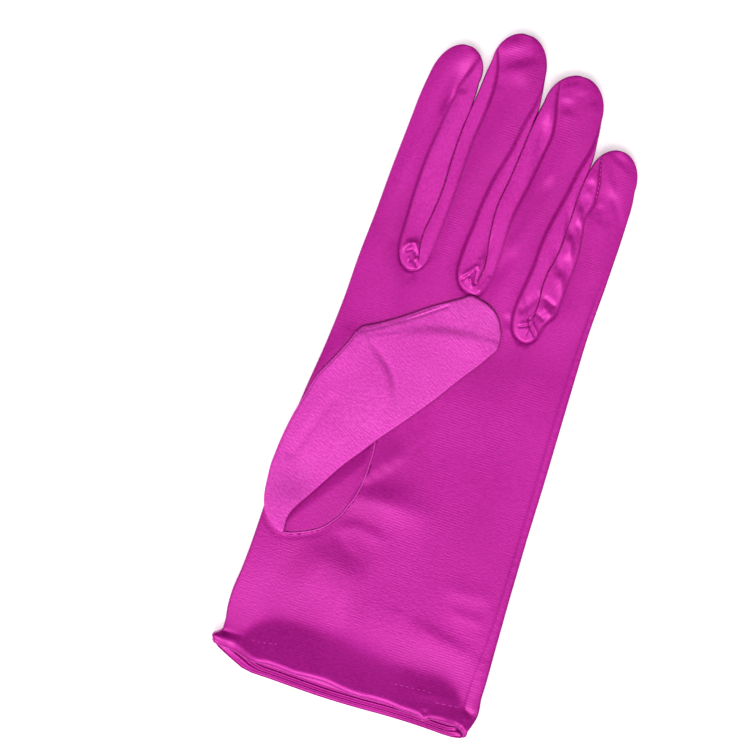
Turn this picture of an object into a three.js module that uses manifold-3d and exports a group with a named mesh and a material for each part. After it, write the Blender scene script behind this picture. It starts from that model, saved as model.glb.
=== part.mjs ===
// A short satin dress glove for the left hand. It lies flat on the plane z = 0, palm side up,
// fingers along +Y, with the thumb folded over the palm. Sizes are in millimetres.
//
// The hand is one cloth wall: palm, back and finger faces. A gusset runs round each of the three
// gaps between the fingers, and the thumb is set into an oval hole in the palm.
// In the tables y is the distance from the back hem, and x runs from the index finger's side
// (left, negative) to the little finger's side (right, positive).
import * as THREE from 'three';
import { mergeVertices } from 'three/addons/utils/BufferGeometryUtils.js';
import Module from 'manifold-3d';

const wasm = await Module();
wasm.setup();

// Driving sizes
const LENGTH = 230;
const WALL = 1;
const SEAM_GAP = 0.3;
const PALM_HEIGHT = 7.6;
const PALM_CROWN = 0.4;
const FINGER_HEIGHT = 7.0;
const FINGER_CROWN = 0.8;
const HEM_SWELL = 0.4;
const HEM_WIDTH = 7.8;
const FRONT_HEM_SETBACK = 5.6;
const HEM_TOP = FRONT_HEM_SETBACK + HEM_WIDTH;
const CUT = 20;

// Thumb: its axis starts at the low end of the oval and leans towards the little finger
const THUMB_START = { x: -35.5, y: 49 };
const THUMB_LEAN = THREE.MathUtils.degToRad(-29.1);
const THUMB_HEIGHT = 6.8;
const THUMB_CROWN = 0.9;
const POCKET_REACH = 5;

// The thumb's folded edge over the palm, as a straight line through one point
const FOLD_EDGE = { x: -29.6, y: 65.4, slope: 0.706 };

// Outline of the flat hand from the hem to the knuckles
const PALM = [
  { y: 0, left: -45.6, right: 45.2, height: PALM_HEIGHT + HEM_SWELL },
  { y: FRONT_HEM_SETBACK, left: -46.2, right: 46.0, height: PALM_HEIGHT + HEM_SWELL },
  { y: HEM_TOP, left: -46.0, right: 46.2, height: PALM_HEIGHT + HEM_SWELL },
  { y: HEM_TOP + WALL, left: -45.4, right: 46.0, height: PALM_HEIGHT },
  { y: 33, left: -43.9, right: 45.6, height: PALM_HEIGHT },
  { y: 53, left: -43.5, right: 44.3, height: PALM_HEIGHT },
  { y: 63, left: -44.4, right: 43.7, height: PALM_HEIGHT },
  { y: 93, left: -43.0, right: 42.0, height: PALM_HEIGHT },
  { y: 113, left: -41.1, right: 41.7, height: PALM_HEIGHT },
  { y: 128, left: -40.3, right: 41.4, height: 7.4 },
  { y: 136, left: -40.1, right: 41.3, height: 7.1 },
  { y: 140.5, left: -40.0, right: 41.2, height: 4.8 },
];

// The knuckle band behind the two higher finger gaps, narrower than the fingers that hide it.
// It and the palm slope down at their far ends, into the valleys between the fingers.
const KNUCKLES = [
  { y: 130, left: -38.8, right: 20.4, height: 6.9 },
  { y: 144, left: -38.8, right: 20.4, height: 6.9 },
  { y: 148.5, left: -38.6, right: 20.4, height: 4.6 },
];

// Each finger runs from inside the palm to its shoulder row, then closes in a round tip
const FINGERS = [
  {
    name: 'index',
    tip: { x: -27.8, y: 220.6 },
    rows: [
      { y: 118, left: -40.2, right: -20.7 },
      { y: 146, left: -39.9, right: -21.1 },
      { y: 158, left: -39.1, right: -21.9 },
      { y: 173, left: -38.5, right: -20.6 },
      { y: 193, left: -37.3, right: -20.8 },
      { y: 210, left: -36.1, right: -20.1 },
    ],
  },
  {
    name: 'middle',
    tip: { x: -10.3, y: LENGTH },
    rows: [
      { y: 118, left: -20.3, right: 0.4 },
      { y: 146, left: -20.7, right: -0.2 },
      { y: 158, left: -21.5, right: -0.6 },
      { y: 173, left: -20.2, right: -1.7 },
      { y: 193, left: -20.4, right: 0.2 },
      { y: 206, left: -19.6, right: 1.5 },
      { y: 219, left: -18.0, right: 0.3 },
    ],
  },
  {
    name: 'ring',
    tip: { x: 11.2, y: 222.4 },
    rows: [
      { y: 118, left: 0.8, right: 21.3 },
      { y: 146, left: 0.2, right: 21.8 },
      { y: 158, left: -0.2, right: 21.3 },
      { y: 173, left: -1.3, right: 22.5 },
      { y: 193, left: 0.6, right: 23.2 },
      { y: 203, left: 1.3, right: 23.5 },
      { y: 211, left: 2.6, right: 22.3 },
    ],
  },
  {
    name: 'little',
    tip: { x: 31.5, y: 203.2 },
    rows: [
      { y: 118, left: 21.7, right: 41.5 },
      { y: 146, left: 22.2, right: 41.2 },
      { y: 158, left: 21.7, right: 41.5 },
      { y: 173, left: 22.9, right: 41.6 },
      { y: 183, left: 22.9, right: 41.5 },
      { y: 192, left: 23.3, right: 40.4 },
    ],
  },
];

// Seams of each gusset: they part at the bottom of the gap and end at the edge of a finger
const GUSSETS = [
  {
    name: 'gusset_index_middle',
    bottom: { x: -22.2, y: 143.8 },
    leftEnd: { x: -19.6, y: 219 },
    rightEnd: { x: -19.6, y: 223 },
    rows: [
      { y: 148, left: -27.0, right: -18.3 },
      { y: 155, left: -28.4, right: -17.0 },
      { y: 165, left: -28.7, right: -16.6 },
      { y: 183, left: -28.6, right: -16.2 },
      { y: 203, left: -27.0, right: -15.0 },
      { y: 213, left: -24.3, right: -15.1 },
    ],
  },
  {
    name: 'gusset_middle_ring',
    bottom: { x: 0.2, y: 142.6 },
    leftEnd: { x: 2.2, y: 215 },
    rightEnd: { x: 3.8, y: 220.5 },
    rows: [
      { y: 147, left: -5.7, right: 3.5 },
      { y: 154, left: -7.7, right: 4.7 },
      { y: 165, left: -7.2, right: 4.6 },
      { y: 183, left: -5.0, right: 6.2 },
      { y: 203, left: -1.3, right: 8.2 },
      { y: 209, left: 0.2, right: 7.4 },
    ],
  },
  {
    name: 'gusset_ring_little',
    bottom: { x: 21.2, y: 132.6 },
    leftEnd: { x: 24.2, y: 209 },
    rightEnd: { x: 24.2, y: 202 },
    rows: [
      { y: 138, left: 15.6, right: 25.8 },
      { y: 144, left: 14.8, right: 28.2 },
      { y: 155, left: 15.4, right: 28.8 },
      { y: 173, left: 17.5, right: 28.8 },
      { y: 188, left: 19.9, right: 28.4 },
      { y: 196, left: 21.4, right: 26.8 },
    ],
  },
];

// Oval hole that the thumb is sewn into. Its left side follows the folded edge of the palm.
const OVAL = [
  { y: 48.2, left: -35.8, right: -33.2 },
  { y: 50, left: -38.6, right: -28.6 },
  { y: 54, left: -39.8, right: -23.0 },
  { y: 61, left: -40.3, right: -18.0 },
  { y: 71, left: -40.4, right: -15.6 },
  { y: 82, left: -40.0, right: -13.8 },
  { y: 91, left: -39.4, right: -14.6 },
  { y: 101, left: -38.6, right: -17.8 },
  { y: 110, left: -36.8, right: -22.6 },
  { y: 117, left: -33.8, right: -28.6 },
];

// Outline of the folded thumb along its own axis: y along it, left and right across it.
// The right edge is the fold that shows over the pocket, lift is its height over the palm.
const THUMB = [
  { y: 0.5, left: -7.0, right: -1.0, lift: 0, height: 3.4 },
  { y: 3.5, left: -11.9, right: -2.0, lift: 0, height: 4.6 },
  { y: 7.7, left: -14.9, right: -2.4, lift: 0, height: 5.6 },
  { y: 13.3, left: -18.3, right: -2.6, lift: 0, height: 6.3 },
  { y: 20, left: -21.8, right: -2.2, lift: 0, height: THUMB_HEIGHT },
  { y: 29, left: -26.2, right: -1.0, lift: 0, height: THUMB_HEIGHT },
  { y: 40, left: -29.2, right: 0.0, lift: 0, height: THUMB_HEIGHT },
  { y: 52, left: -29.9, right: 1.3, lift: 0, height: THUMB_HEIGHT },
  { y: 59, left: -30.2, right: 1.9, lift: 0, height: THUMB_HEIGHT },
  { y: 65, left: -31.3, right: 2.7, lift: 0, height: THUMB_HEIGHT },
  { y: 70.5, left: -27.9, right: 3.3, lift: 0, height: 6.6 },
  { y: 81, left: -22.6, right: 4.2, lift: -0.1, height: 6.2 },
  { y: 88, left: -19.6, right: 4.6, lift: -0.2, height: 5.8 },
  { y: 93, left: -17.8, right: 4.1, lift: -0.3, height: 5.0 },
  { y: 97.2, left: -15.8, right: 1.2, lift: -0.3, height: 4.2 },
  { y: 99.8, left: -13.4, right: -4.8, lift: -0.3, height: 3.2 },
];

// Folds and dents of the palm, from the thumb's seam outwards and along the hem
const FOLDS = [
  { name: 'upper ridge', from: [-13.8, 70.5], to: [-4.5, 83.0], width: 4.0, lift: 0.8 },
  { name: 'hollow', from: [-12.5, 67.8], to: [4.0, 76.0], width: 3.6, lift: -0.8 },
  { name: 'main ridge', from: [-14.0, 62.6], to: [12.0, 69.0], width: 4.0, lift: 0.9 },
  { name: 'lower hollow', from: [-16.5, 57.0], to: [0.0, 60.5], width: 4.0, lift: -0.7 },
  { name: 'lower ridge', from: [-21.0, 50.5], to: [3.0, 51.5], width: 4.5, lift: 0.5 },
  { name: 'heel dent', from: [21.0, 35.5], to: [36.0, 29.5], width: 6.0, lift: -0.5 },
  { name: 'hem dent', from: [-34.0, 21.5], to: [40.0, 21.5], width: 5.5, lift: -0.7 },
  { name: 'knuckle dent', from: [22.0, 106.0], to: [34.0, 118.0], width: 7.0, lift: -0.4 },
];

// Free edge of the front hem, which bends at its left end
const FRONT_HEM = [
  [-47.0, 9.0], [-43.0, 6.4], [-38.0, 7.0], [-31.0, 5.0], [-22.0, 5.8], [0.0, 5.4],
  [30.0, 5.8], [39.5, 6.6], [47.0, 4.2],
];

// Tables

function lookUp(rows, y, column) {
  const last = rows.length - 1;
  if (y <= rows[0].y) return rows[0][column];
  if (y >= rows[last].y) return rows[last][column];
  const above = rows.findIndex((row) => row.y > y);
  const below = rows[above - 1];
  const share = (y - below.y) / (rows[above].y - below.y);
  return THREE.MathUtils.lerp(below[column], rows[above][column], share);
}

function stations(rows, step) {
  const places = [];
  for (let i = 0; i < rows.length - 1; i += 1) {
    const span = rows[i + 1].y - rows[i].y;
    const parts = Math.max(1, Math.round(span / step));
    for (let k = 0; k < parts; k += 1) places.push(rows[i].y + (span * k) / parts);
  }
  places.push(rows[rows.length - 1].y);
  return places;
}

function foldLift(x, y) {
  let lift = 0;
  for (const fold of FOLDS) {
    const along = [fold.to[0] - fold.from[0], fold.to[1] - fold.from[1]];
    const reach = [x - fold.from[0], y - fold.from[1]];
    const share = (reach[0] * along[0] + reach[1] * along[1]) / (along[0] ** 2 + along[1] ** 2);
    const near = THREE.MathUtils.clamp(share, 0, 1);
    const away = Math.hypot(reach[0] - near * along[0], reach[1] - near * along[1]);
    lift += fold.lift * Math.exp(-((away / fold.width) ** 2));
  }
  return lift;
}

// Lofted tubes

// One section of a flattened tube: flat below, round at the sides and crowned on top.
// inset moves every side inwards, so the same row also gives the hollow.
function section(row, detail, inset) {
  const floor = row.floor + inset;
  const height = row.height - row.crown - 2 * inset;
  const left = row.left + inset;
  const right = row.right - inset;
  const radius = Math.min(height / 2, (right - left) / 2.2);
  const middle = floor + height / 2;
  const points = [];
  for (let i = 1; i < detail.bottom; i += 1) {
    const x = THREE.MathUtils.lerp(left + radius, right - radius, i / detail.bottom);
    points.push([x, floor]);
  }
  for (let i = 0; i <= detail.side; i += 1) {
    const turn = -Math.PI / 2 + (Math.PI * i) / detail.side;
    points.push([right - radius + radius * Math.cos(turn), middle + (height / 2) * Math.sin(turn)]);
  }
  for (let i = 1; i < detail.top; i += 1) {
    const share = i / detail.top;
    const x = THREE.MathUtils.lerp(right - radius, left + radius, share);
    const swell = row.crown * (1 - (2 * share - 1) ** 2);
    const fold = row.folded ? foldLift(x, row.y) * Math.sin(Math.PI * share) ** 0.5 : 0;
    points.push([x, floor + height + swell + fold]);
  }
  for (let i = 0; i <= detail.side; i += 1) {
    const turn = Math.PI / 2 + (Math.PI * i) / detail.side;
    points.push([left + radius + radius * Math.cos(turn), middle + (height / 2) * Math.sin(turn)]);
  }
  return points.map(([x, z]) => new THREE.Vector3(x, row.y, z));
}

function middleOf(ring) {
  const box = new THREE.Box3().setFromPoints(ring);
  return box.getCenter(new THREE.Vector3());
}

function tube(rows, detail, inset) {
  const rings = rows.map((row) => section(row, detail, inset));
  const count = rings[0].length;
  const points = rings.flat();
  const faces = [];
  for (let j = 0; j < rings.length - 1; j += 1) {
    for (let i = 0; i < count; i += 1) {
      const a = j * count + i;
      const b = j * count + ((i + 1) % count);
      faces.push(a, a + count, b, b, a + count, b + count);
    }
  }
  const last = (rings.length - 1) * count;
  const near = points.push(middleOf(rings[0])) - 1;
  const far = points.push(middleOf(rings[rings.length - 1])) - 1;
  for (let i = 0; i < count; i += 1) {
    const next = (i + 1) % count;
    faces.push(near, i, next, far, last + next, last + i);
  }
  const geometry = new THREE.BufferGeometry().setFromPoints(points);
  geometry.setIndex(faces);
  return geometry;
}

// Solids

function toSolid(geometry) {
  const bare = geometry.clone();
  bare.deleteAttribute('normal');
  bare.deleteAttribute('uv');
  const merged = mergeVertices(bare, 1e-4);
  const mesh = new wasm.Mesh({
    numProp: 3,
    vertProperties: new Float32Array(merged.attributes.position.array),
    triVerts: new Uint32Array(merged.index.array),
  });
  return new wasm.Manifold(mesh);
}

function toMesh(solid, name, colour) {
  const result = solid.getMesh();
  const geometry = new THREE.BufferGeometry();
  geometry.setAttribute('position', new THREE.BufferAttribute(result.vertProperties, 3));
  geometry.setIndex(new THREE.BufferAttribute(result.triVerts, 1));
  geometry.computeVertexNormals();
  const material = new THREE.MeshStandardMaterial({ color: colour, roughness: 0.38, metalness: 0 });
  const mesh = new THREE.Mesh(geometry, material);
  mesh.name = name;
  return mesh;
}

// An upright block over a plan outline, from one height to another
function block(outline, low, high) {
  const shape = new THREE.Shape(outline.map(([x, y]) => new THREE.Vector2(x, y)));
  const geometry = new THREE.ExtrudeGeometry(shape, { depth: high - low, bevelEnabled: false });
  geometry.translate(0, 0, low);
  return toSolid(geometry);
}

// A plan outline from a table of left and right edges, kept margin inside them
function outlineOf(rows, margin) {
  const rightSide = rows.map((row) => [row.right - margin, row.y]);
  const leftSide = rows.map((row) => [row.left + margin, row.y]).reverse();
  return [...rightSide, ...leftSide];
}

// Hand

const PALM_DETAIL = { bottom: 4, side: 4, top: 20 };
const PALM_STEP = 7;
const FINGER_DETAIL = { bottom: 3, side: 4, top: 6 };
const FINGER_STEP = 11;
const HOLLOW_DETAIL = { bottom: 2, side: 3, top: 4 };
const TIP_TURNS = [25, 48, 66, 80];
const TIP_END = Math.sin(THREE.MathUtils.degToRad(TIP_TURNS[TIP_TURNS.length - 1]));

function palmTube(inset) {
  const extra = inset > 0 ? CUT : 0;
  const rows = stations(PALM, PALM_STEP).map((y) => ({
    y: y,
    left: lookUp(PALM, y, 'left'),
    right: lookUp(PALM, y, 'right'),
    height: lookUp(PALM, y, 'height'),
    crown: PALM_CROWN,
    floor: 0,
    folded: true,
  }));
  rows[0].y -= extra;
  rows[rows.length - 1].y -= inset;
  return toSolid(tube(rows, PALM_DETAIL, inset));
}

function knuckleTube(inset) {
  const rows = KNUCKLES.map((row) => ({ ...row, crown: PALM_CROWN, floor: 0, folded: false }));
  rows[rows.length - 1].y -= inset;
  return toSolid(tube(rows, HOLLOW_DETAIL, inset));
}

function fingerTube(finger, inset) {
  const rows = stations(finger.rows, FINGER_STEP).map((y) => ({
    y: y,
    left: lookUp(finger.rows, y, 'left'),
    right: lookUp(finger.rows, y, 'right'),
    height: FINGER_HEIGHT,
    crown: FINGER_CROWN,
    floor: 0,
    folded: false,
  }));
  const shoulder = rows[rows.length - 1];
  const reach = finger.tip.y - shoulder.y - inset;
  const centre = (shoulder.left + shoulder.right) / 2;
  const half = (shoulder.right - shoulder.left) / 2;
  for (const degrees of TIP_TURNS) {
    const turn = THREE.MathUtils.degToRad(degrees);
    const middle = THREE.MathUtils.lerp(centre, finger.tip.x, Math.sin(turn));
    const spread = (half - inset) * Math.cos(turn) ** 0.85 + inset;
    const flatten = 0.35 + 0.65 * Math.cos(turn);
    rows.push({
      ...shoulder,
      y: shoulder.y + (reach * Math.sin(turn)) / TIP_END,
      left: middle - spread,
      right: middle + spread,
      height: (FINGER_HEIGHT - 2 * inset) * flatten + 2 * inset,
      crown: FINGER_CROWN * flatten,
    });
  }
  const detail = inset > 0 ? HOLLOW_DETAIL : FINGER_DETAIL;
  return toSolid(tube(rows, detail, inset));
}

function handOuter(inset) {
  const fingers = FINGERS.map((finger) => fingerTube(finger, inset));
  let solid = palmTube(inset).add(knuckleTube(inset));
  for (const finger of fingers) solid = solid.add(finger);
  return solid;
}

// Cuts the palm side back to the front hem, so that the back hem shows below it
function frontHemCut() {
  const outline = [[-60, -CUT], [60, -CUT], [60, 4], ...[...FRONT_HEM].reverse(), [-60, 9]];
  return block(outline, PALM_HEIGHT / 2, PALM_HEIGHT + CUT);
}

function gussetOutline(gusset, margin) {
  const left = gusset.rows.map((row) => [row.left + margin, row.y]).reverse();
  const right = gusset.rows.map((row) => [row.right - margin, row.y]);
  return [
    [gusset.bottom.x - 2.4, gusset.bottom.y + 1 + margin],
    [gusset.bottom.x, gusset.bottom.y + margin],
    [gusset.bottom.x + 2.4, gusset.bottom.y + 1 + margin],
    ...right,
    [gusset.rightEnd.x, gusset.rightEnd.y - margin],
    [gusset.leftEnd.x, gusset.leftEnd.y - margin],
    ...left,
  ];
}

// Thumb

const THUMB_DETAIL = { bottom: 4, side: 4, top: 10 };
const THUMB_STEP = 6;
const THUMB_FLOOR = PALM_HEIGHT + SEAM_GAP;

function placeThumb(geometry) {
  const turned = new THREE.Matrix4().makeRotationZ(THUMB_LEAN);
  turned.setPosition(THUMB_START.x, THUMB_START.y, 0);
  return geometry.applyMatrix4(turned);
}

function thumbTube(inset) {
  const rows = stations(THUMB, THUMB_STEP).map((y) => ({
    y: y,
    left: lookUp(THUMB, y, 'left'),
    right: lookUp(THUMB, y, 'right'),
    height: lookUp(THUMB, y, 'height'),
    crown: THUMB_CROWN * (lookUp(THUMB, y, 'height') / THUMB_HEIGHT),
    floor: THUMB_FLOOR + lookUp(THUMB, y, 'lift'),
    folded: false,
  }));
  const kept = inset > 0 ? rows.slice(2, -1) : rows;
  return toSolid(placeThumb(tube(kept, THUMB_DETAIL, inset)));
}

function foldEdgeAt(y) {
  return FOLD_EDGE.x + FOLD_EDGE.slope * (y - FOLD_EDGE.y);
}

// The thumb's own opening: inside the oval and well behind the folded edge
function thumbOpening() {
  const rows = OVAL.filter((row) => row.y > 60 && row.y < 115);
  const narrowed = rows.map((row) => ({
    y: row.y,
    left: row.left + WALL,
    right: Math.min(row.right - 1.5 * WALL, foldEdgeAt(row.y) - POCKET_REACH),
  }));
  return block(outlineOf(narrowed, 0), PALM_HEIGHT, THUMB_FLOOR + 1.5 * WALL);
}

// The cloth between the oval's right seam and the folded edge, rising from the palm to the thumb
function thumbPocket() {
  const rows = OVAL.filter((row) => row.y < 92);
  const seamTop = PALM_HEIGHT + PALM_CROWN / 2;
  const innerTop = THUMB_FLOOR + WALL - SEAM_GAP;
  const points = [];
  for (const row of rows) {
    const seam = row.right - SEAM_GAP;
    const hidden = Math.min(foldEdgeAt(row.y) - POCKET_REACH - WALL, seam - WALL);
    const inner = Math.max(hidden, row.left + SEAM_GAP);
    points.push(new THREE.Vector3(inner, row.y, innerTop - WALL));
    points.push(new THREE.Vector3(seam, row.y, seamTop - WALL));
    points.push(new THREE.Vector3(seam, row.y, seamTop));
    points.push(new THREE.Vector3(inner, row.y, innerTop));
  }
  const faces = [];
  for (let j = 0; j < rows.length - 1; j += 1) {
    for (let i = 0; i < 4; i += 1) {
      const a = 4 * j + i;
      const b = 4 * j + ((i + 1) % 4);
      faces.push(a, a + 4, b, b, a + 4, b + 4);
    }
  }
  const last = 4 * (rows.length - 1);
  faces.push(0, 1, 2, 0, 2, 3, last, last + 2, last + 1, last, last + 3, last + 2);
  const geometry = new THREE.BufferGeometry().setFromPoints(points);
  geometry.setIndex(faces);
  return toSolid(geometry);
}

// Assembly

const shell = handOuter(0).subtract(handOuter(WALL)).subtract(frontHemCut());
const thumbHole = block(outlineOf(OVAL, 0), PALM_HEIGHT / 2, PALM_HEIGHT + CUT);

let hand = shell.subtract(thumbHole);
const pieces = [];
for (const gusset of GUSSETS) {
  const cut = block(gussetOutline(gusset, 0), -CUT, CUT);
  const kept = block(gussetOutline(gusset, SEAM_GAP), -CUT, CUT);
  hand = hand.subtract(cut);
  pieces.push(toMesh(shell.intersect(kept), gusset.name, 0xd032aa));
}
pieces.push(toMesh(hand, 'hand', 0xc8289f));

const thumb = thumbTube(0).subtract(thumbTube(WALL)).subtract(thumbOpening()).add(thumbPocket());
pieces.push(toMesh(thumb, 'thumb', 0xe24cc0));

const glove = new THREE.Group();
glove.add(...pieces);
glove.position.set(0, -LENGTH / 2, 0);

export default glove;
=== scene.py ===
# A short satin dress glove for the left hand, lying flat with its palm side up.
# The shapes are worked out in millimetres: x runs from the index finger's side to the little
# finger's side, y is the distance from the back hem, z is the height over the table.
# They are turned into metres in the part's own frame when a mesh is made.
import math

import bpy
import numpy as np
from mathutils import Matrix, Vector


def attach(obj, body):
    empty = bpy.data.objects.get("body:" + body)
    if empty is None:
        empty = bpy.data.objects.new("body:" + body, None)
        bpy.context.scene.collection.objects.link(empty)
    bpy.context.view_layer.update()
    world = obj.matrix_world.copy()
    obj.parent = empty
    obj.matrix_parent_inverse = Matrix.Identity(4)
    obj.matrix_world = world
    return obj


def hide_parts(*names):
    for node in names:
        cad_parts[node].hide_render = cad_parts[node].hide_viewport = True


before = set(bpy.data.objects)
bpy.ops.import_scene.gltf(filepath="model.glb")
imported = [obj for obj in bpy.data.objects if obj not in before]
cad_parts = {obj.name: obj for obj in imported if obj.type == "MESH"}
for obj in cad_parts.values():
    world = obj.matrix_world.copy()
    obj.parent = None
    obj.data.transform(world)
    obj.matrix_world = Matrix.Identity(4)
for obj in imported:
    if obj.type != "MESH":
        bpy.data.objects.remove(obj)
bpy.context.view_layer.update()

# Driving sizes, in millimetres. A span is the stretch over which a change grows from 0 to 1;
# a mound has a height, a middle and a half width; a groove has a depth and a half width.
MILLIMETRE = 0.001
LENGTH = 230.0
CLOTH = 0.42
WELD = 0.004
RIM = 0.36
BACK_Z = 0.45
BACK_ROUND = 2.2

# Folds between palm side and back: their height at the free sides, how far they lie under the
# palm side where two fingers touch, and the share of that lift that goes where the fingers part
EDGE_Z = 2.4
VALLEY_DROP = 0.5
PARTED_SHARE = 0.7
PARTED_SPAN = (-3, 5)
TIP_SPAN = (-9, -1)
VALLEY_HALF = 0.003

# The palm's columns, the fingers' arch and where it grows, and the palm's fall at its sides
COLUMN_WIDTH = 22.5
COLUMN_SPAN = (20, 110)
FINGER_CROWN = 0.45
CROWN_SPAN = (124, 152)
PANEL_SPAN = (138, 152)
PANEL_START = 149.0
FALL_LEFT = 0.15
FALL_RIGHT = 0.6
FALL_REACH = 2.5

# Seams and swells; a swell has a height, a scale and a turn, and the side seam lies at a place
# among the little finger's columns
SEAM_GROOVE = 0.42
BOTTOM_DEPTH = 0.35
END_DEPTH = 0.1
SIDE_SEAM_INSET = 1.2
SIDE_SEAM_GROOVE = (0.20, 0.45)
SIDE_SEAM_FADE = (140, 165)
SIDE_SEAM_PLACE = 0.86
PUCKER = (0.03, 1.5, 1.6)
PUCKER_PACE = 2.3
PUCKER_DRIFT = 0.37
STEP_REACH = 9
PALM_SWELL = (0.10, 23, 0.4)
THUMB_SWELL = (0.08, 19, 1.1)
POCKET_SWELL = (0.06, 9, 0.9)

# Front hem: its roll starts at an angle in radians, and its ply is turned in behind it
FRONT_HEM = 5.6
HEM_ROLL = 0.75
ROLL_START = 0.5
HEM_PLY = 7.8
PLY_LOW = 1.6
FRONT_PLY_INSET = 1.2
SHIFT_SPAN = (7, 20.4)
# The sink above it and what the glove's left part adds, the rise to it and its lip
SINK_DEPTH = 0.385
SINK_REACH = 10
LEFT_SINK_DEPTH = 0.49
LEFT_SINK_REACH = 13
LEFT_SINK_SPAN = (-25, -6)
HEM_SLOPE = 0.218
HEM_SOFTNESS = 2
MIDDLE_SOFTNESS = (10, 2, 12)
HEM_LIP = 1.6
LEFT_LIP = (2.0, -42, 8)
LIP_DROP = 0.35
# The horn at its left end
HORN = (1.6, -46.5, 6)
HORN_ROLL = (0.45, -46.5, 6)
HORN_SPAN = (0, 2.6)
HORN_GROOVE = (0.36, 0.6)

# Back hem
BACK_ROLL = 0.32
BACK_PLY_DEPTH = 10
BACK_PLY_INSET = 1.6
BACK_PLY_LEFT = (-46, -36)
BACK_PLY_RIGHT = (40, 44)
DRAWN_FROM = 8.3
DRAWN_LEFT = -43.0

# Strips between the fingers
STRIP_ARCH = 0.2
STRIP_WIDTH = 6
STRIP_OPENING = 2.5
STRIP_BEND = 5

# Thumb: its floor, its folded rim and its arch over the palm, and the rims' radii
THUMB_FLOOR = 0.4
THUMB_RIM = 0.75
RIM_RISE = 0.25
RIM_SPAN = (-1, 90)
TIP_DROP = 0.2
THUMB_TIP_SPAN = (88, 100)
CORNER = (0.5, 58, 13)
CORNER_ACROSS = -31
CORNER_HALF = 7
THUMB_TOP = 0.75
THUMB_ARCH = 0.25
LEFT_RIM = 0.6
RIGHT_RIM = 0.45
THUMB_BACK_ROUND = 2.0
OPENING_INSET = 0.2
OPENING_MARGIN = 7
BEND_GROOVE = (0.18, 1.0)
THUMB_SEAM_GROOVE = (0.18, 0.40)
LEDGE_DROP = 0.22
LEDGE_START = (61, 65)
LEDGE_END = (84, 93)
LEDGE_WIDTH = (0.75, 1.25)
NARROW_RIM = 0.2
NARROW_START = (60, 64)
NARROW_END = (88, 94)

# Raised seam round the thumb's root, and the cloth between the oval and the thumb
PIPING = 0.34
PIPING_END = 62.5
PIPING_LEFT_RISE = 0.35
PIPING_RISE = 0.25
PIPING_INSET = 0.12
POCKET_REACH = 6.05
POCKET_START = 0.1
POCKET_FALL = 0.75
POCKET_EDGE_SPAN = (-4.5, 1.5)
POCKET_EVEN = 0.8
POCKET_ROUND = 2.0
POCKET_ROUNDS = 400
POCKET_UNDER = 0.2
POCKET_RISE_SPAN = (0.82, 1.0)
POCKET_FILL_SPAN = (0.78, 1.0)
WALL_SPAN = (0.6, 61.0)
WALL_OUT = 0.5
WALL_IN = 0.4
WALL_LOW = 0.2
WALL_HIGH = 0.35

# Grids: spacings, and rows or columns of the larger sheets
OUTLINE_STEP = 0.8
STRIP_STEP = 0.36
PIPING_STEP = 0.4
STITCH_STEP = 0.1
CUFF_TOP = 30.0
CUFF_ROWS = 36
PALM_ROWS = 104
GAP_ROWS = (16, 4)
FINGER_ROWS = 92
PALM_COLUMNS = 34
BACK_COLUMNS = 9


# Tables and curves

def curve(*rows):
    """Rows of (y, x) as two arrays: the places y, and the values x."""
    values = np.array(rows, float)
    return values[:, 0], values[:, 1]


def smooth(places, values, at):
    """Values on a smooth curve through a short table, held constant past its ends."""
    at = np.clip(at, places[0], places[-1])
    slopes = np.gradient(values, places)
    k = np.clip(np.searchsorted(places, at) - 1, 0, len(places) - 2)
    span = places[k + 1] - places[k]
    t = (at - places[k]) / span
    ease = t * t * (3 - 2 * t)
    start = t * (1 - t) ** 2 * slopes[k] * span
    end = t * t * (t - 1) * slopes[k + 1] * span
    return values[k] * (1 - ease) + values[k + 1] * ease + start + end


def smooth_round(places, values, at):
    """As smooth, for a closed shape's side: its ends turn round into the other side."""
    low, high = places[0], places[-1]
    turned = np.arccos(1 - 2 * (places - low) / (high - low))
    return smooth(turned, values, np.arccos(np.clip(1 - 2 * (at - low) / (high - low), -1, 1)))


def resample(line, spacing):
    """Points at even spacing along a polyline."""
    lengths = np.hypot(*np.diff(line[:, :2], axis=0).T)
    places = np.concatenate([[0], np.cumsum(lengths)])
    at = np.linspace(0, places[-1], max(2, int(places[-1] / spacing)))
    return np.stack([np.interp(at, places, column) for column in line.T], 1)


def flowing(points, count):
    """Points along a smooth line through a few points in the plane."""
    points = np.array(points, float)
    lengths = np.concatenate([[0], np.cumsum(np.hypot(*np.diff(points, axis=0).T))])
    at = np.linspace(0, lengths[-1], count)
    return np.stack([smooth(lengths, column, at) for column in points.T], 1)


def evened(values, rounds):
    """Values along a line, smoothed again and again between its ends."""
    values = values.copy()
    for _ in range(rounds):
        values[1:-1] = (values[:-2] + 2 * values[1:-1] + values[2:]) / 4
    return values


def along(values, place):
    """Values at places that are given in segments of their line."""
    return np.interp(place, np.arange(len(values)), values)


def between(start, end, share):
    """Rows of values that run from one line to another."""
    return start[:, None] + (end - start)[:, None] * share


def step(low, high, at):
    """0 below low, 1 above high and a smooth rise between them."""
    t = np.clip((at - low) / (high - low), 0, 1)
    return t * t * (3 - 2 * t)


def bell(away, width):
    """1 in the middle, fading to both sides."""
    return np.exp(-((away / width) ** 2))


def mound(at, height, middle, half):
    """A bell curve of a given height around its middle."""
    return height * bell(at - middle, half)


def groove(away, depth, width):
    """A stitched line: the cloth is drawn in on the line."""
    return -depth * bell(away, width)


def half_wave(share, start, end):
    """Grows and fades along a line, over a stretch from start to end of a half wave."""
    return np.sin(math.pi * np.clip(start + (end - start) * share, 0, 1))


def eased(count, pull):
    """Places from 0 to 1 that lie closer together near both ends."""
    t = np.linspace(0, 1, count)
    return (1 - pull) * t + pull * (1 - np.cos(math.pi * t)) / 2


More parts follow.
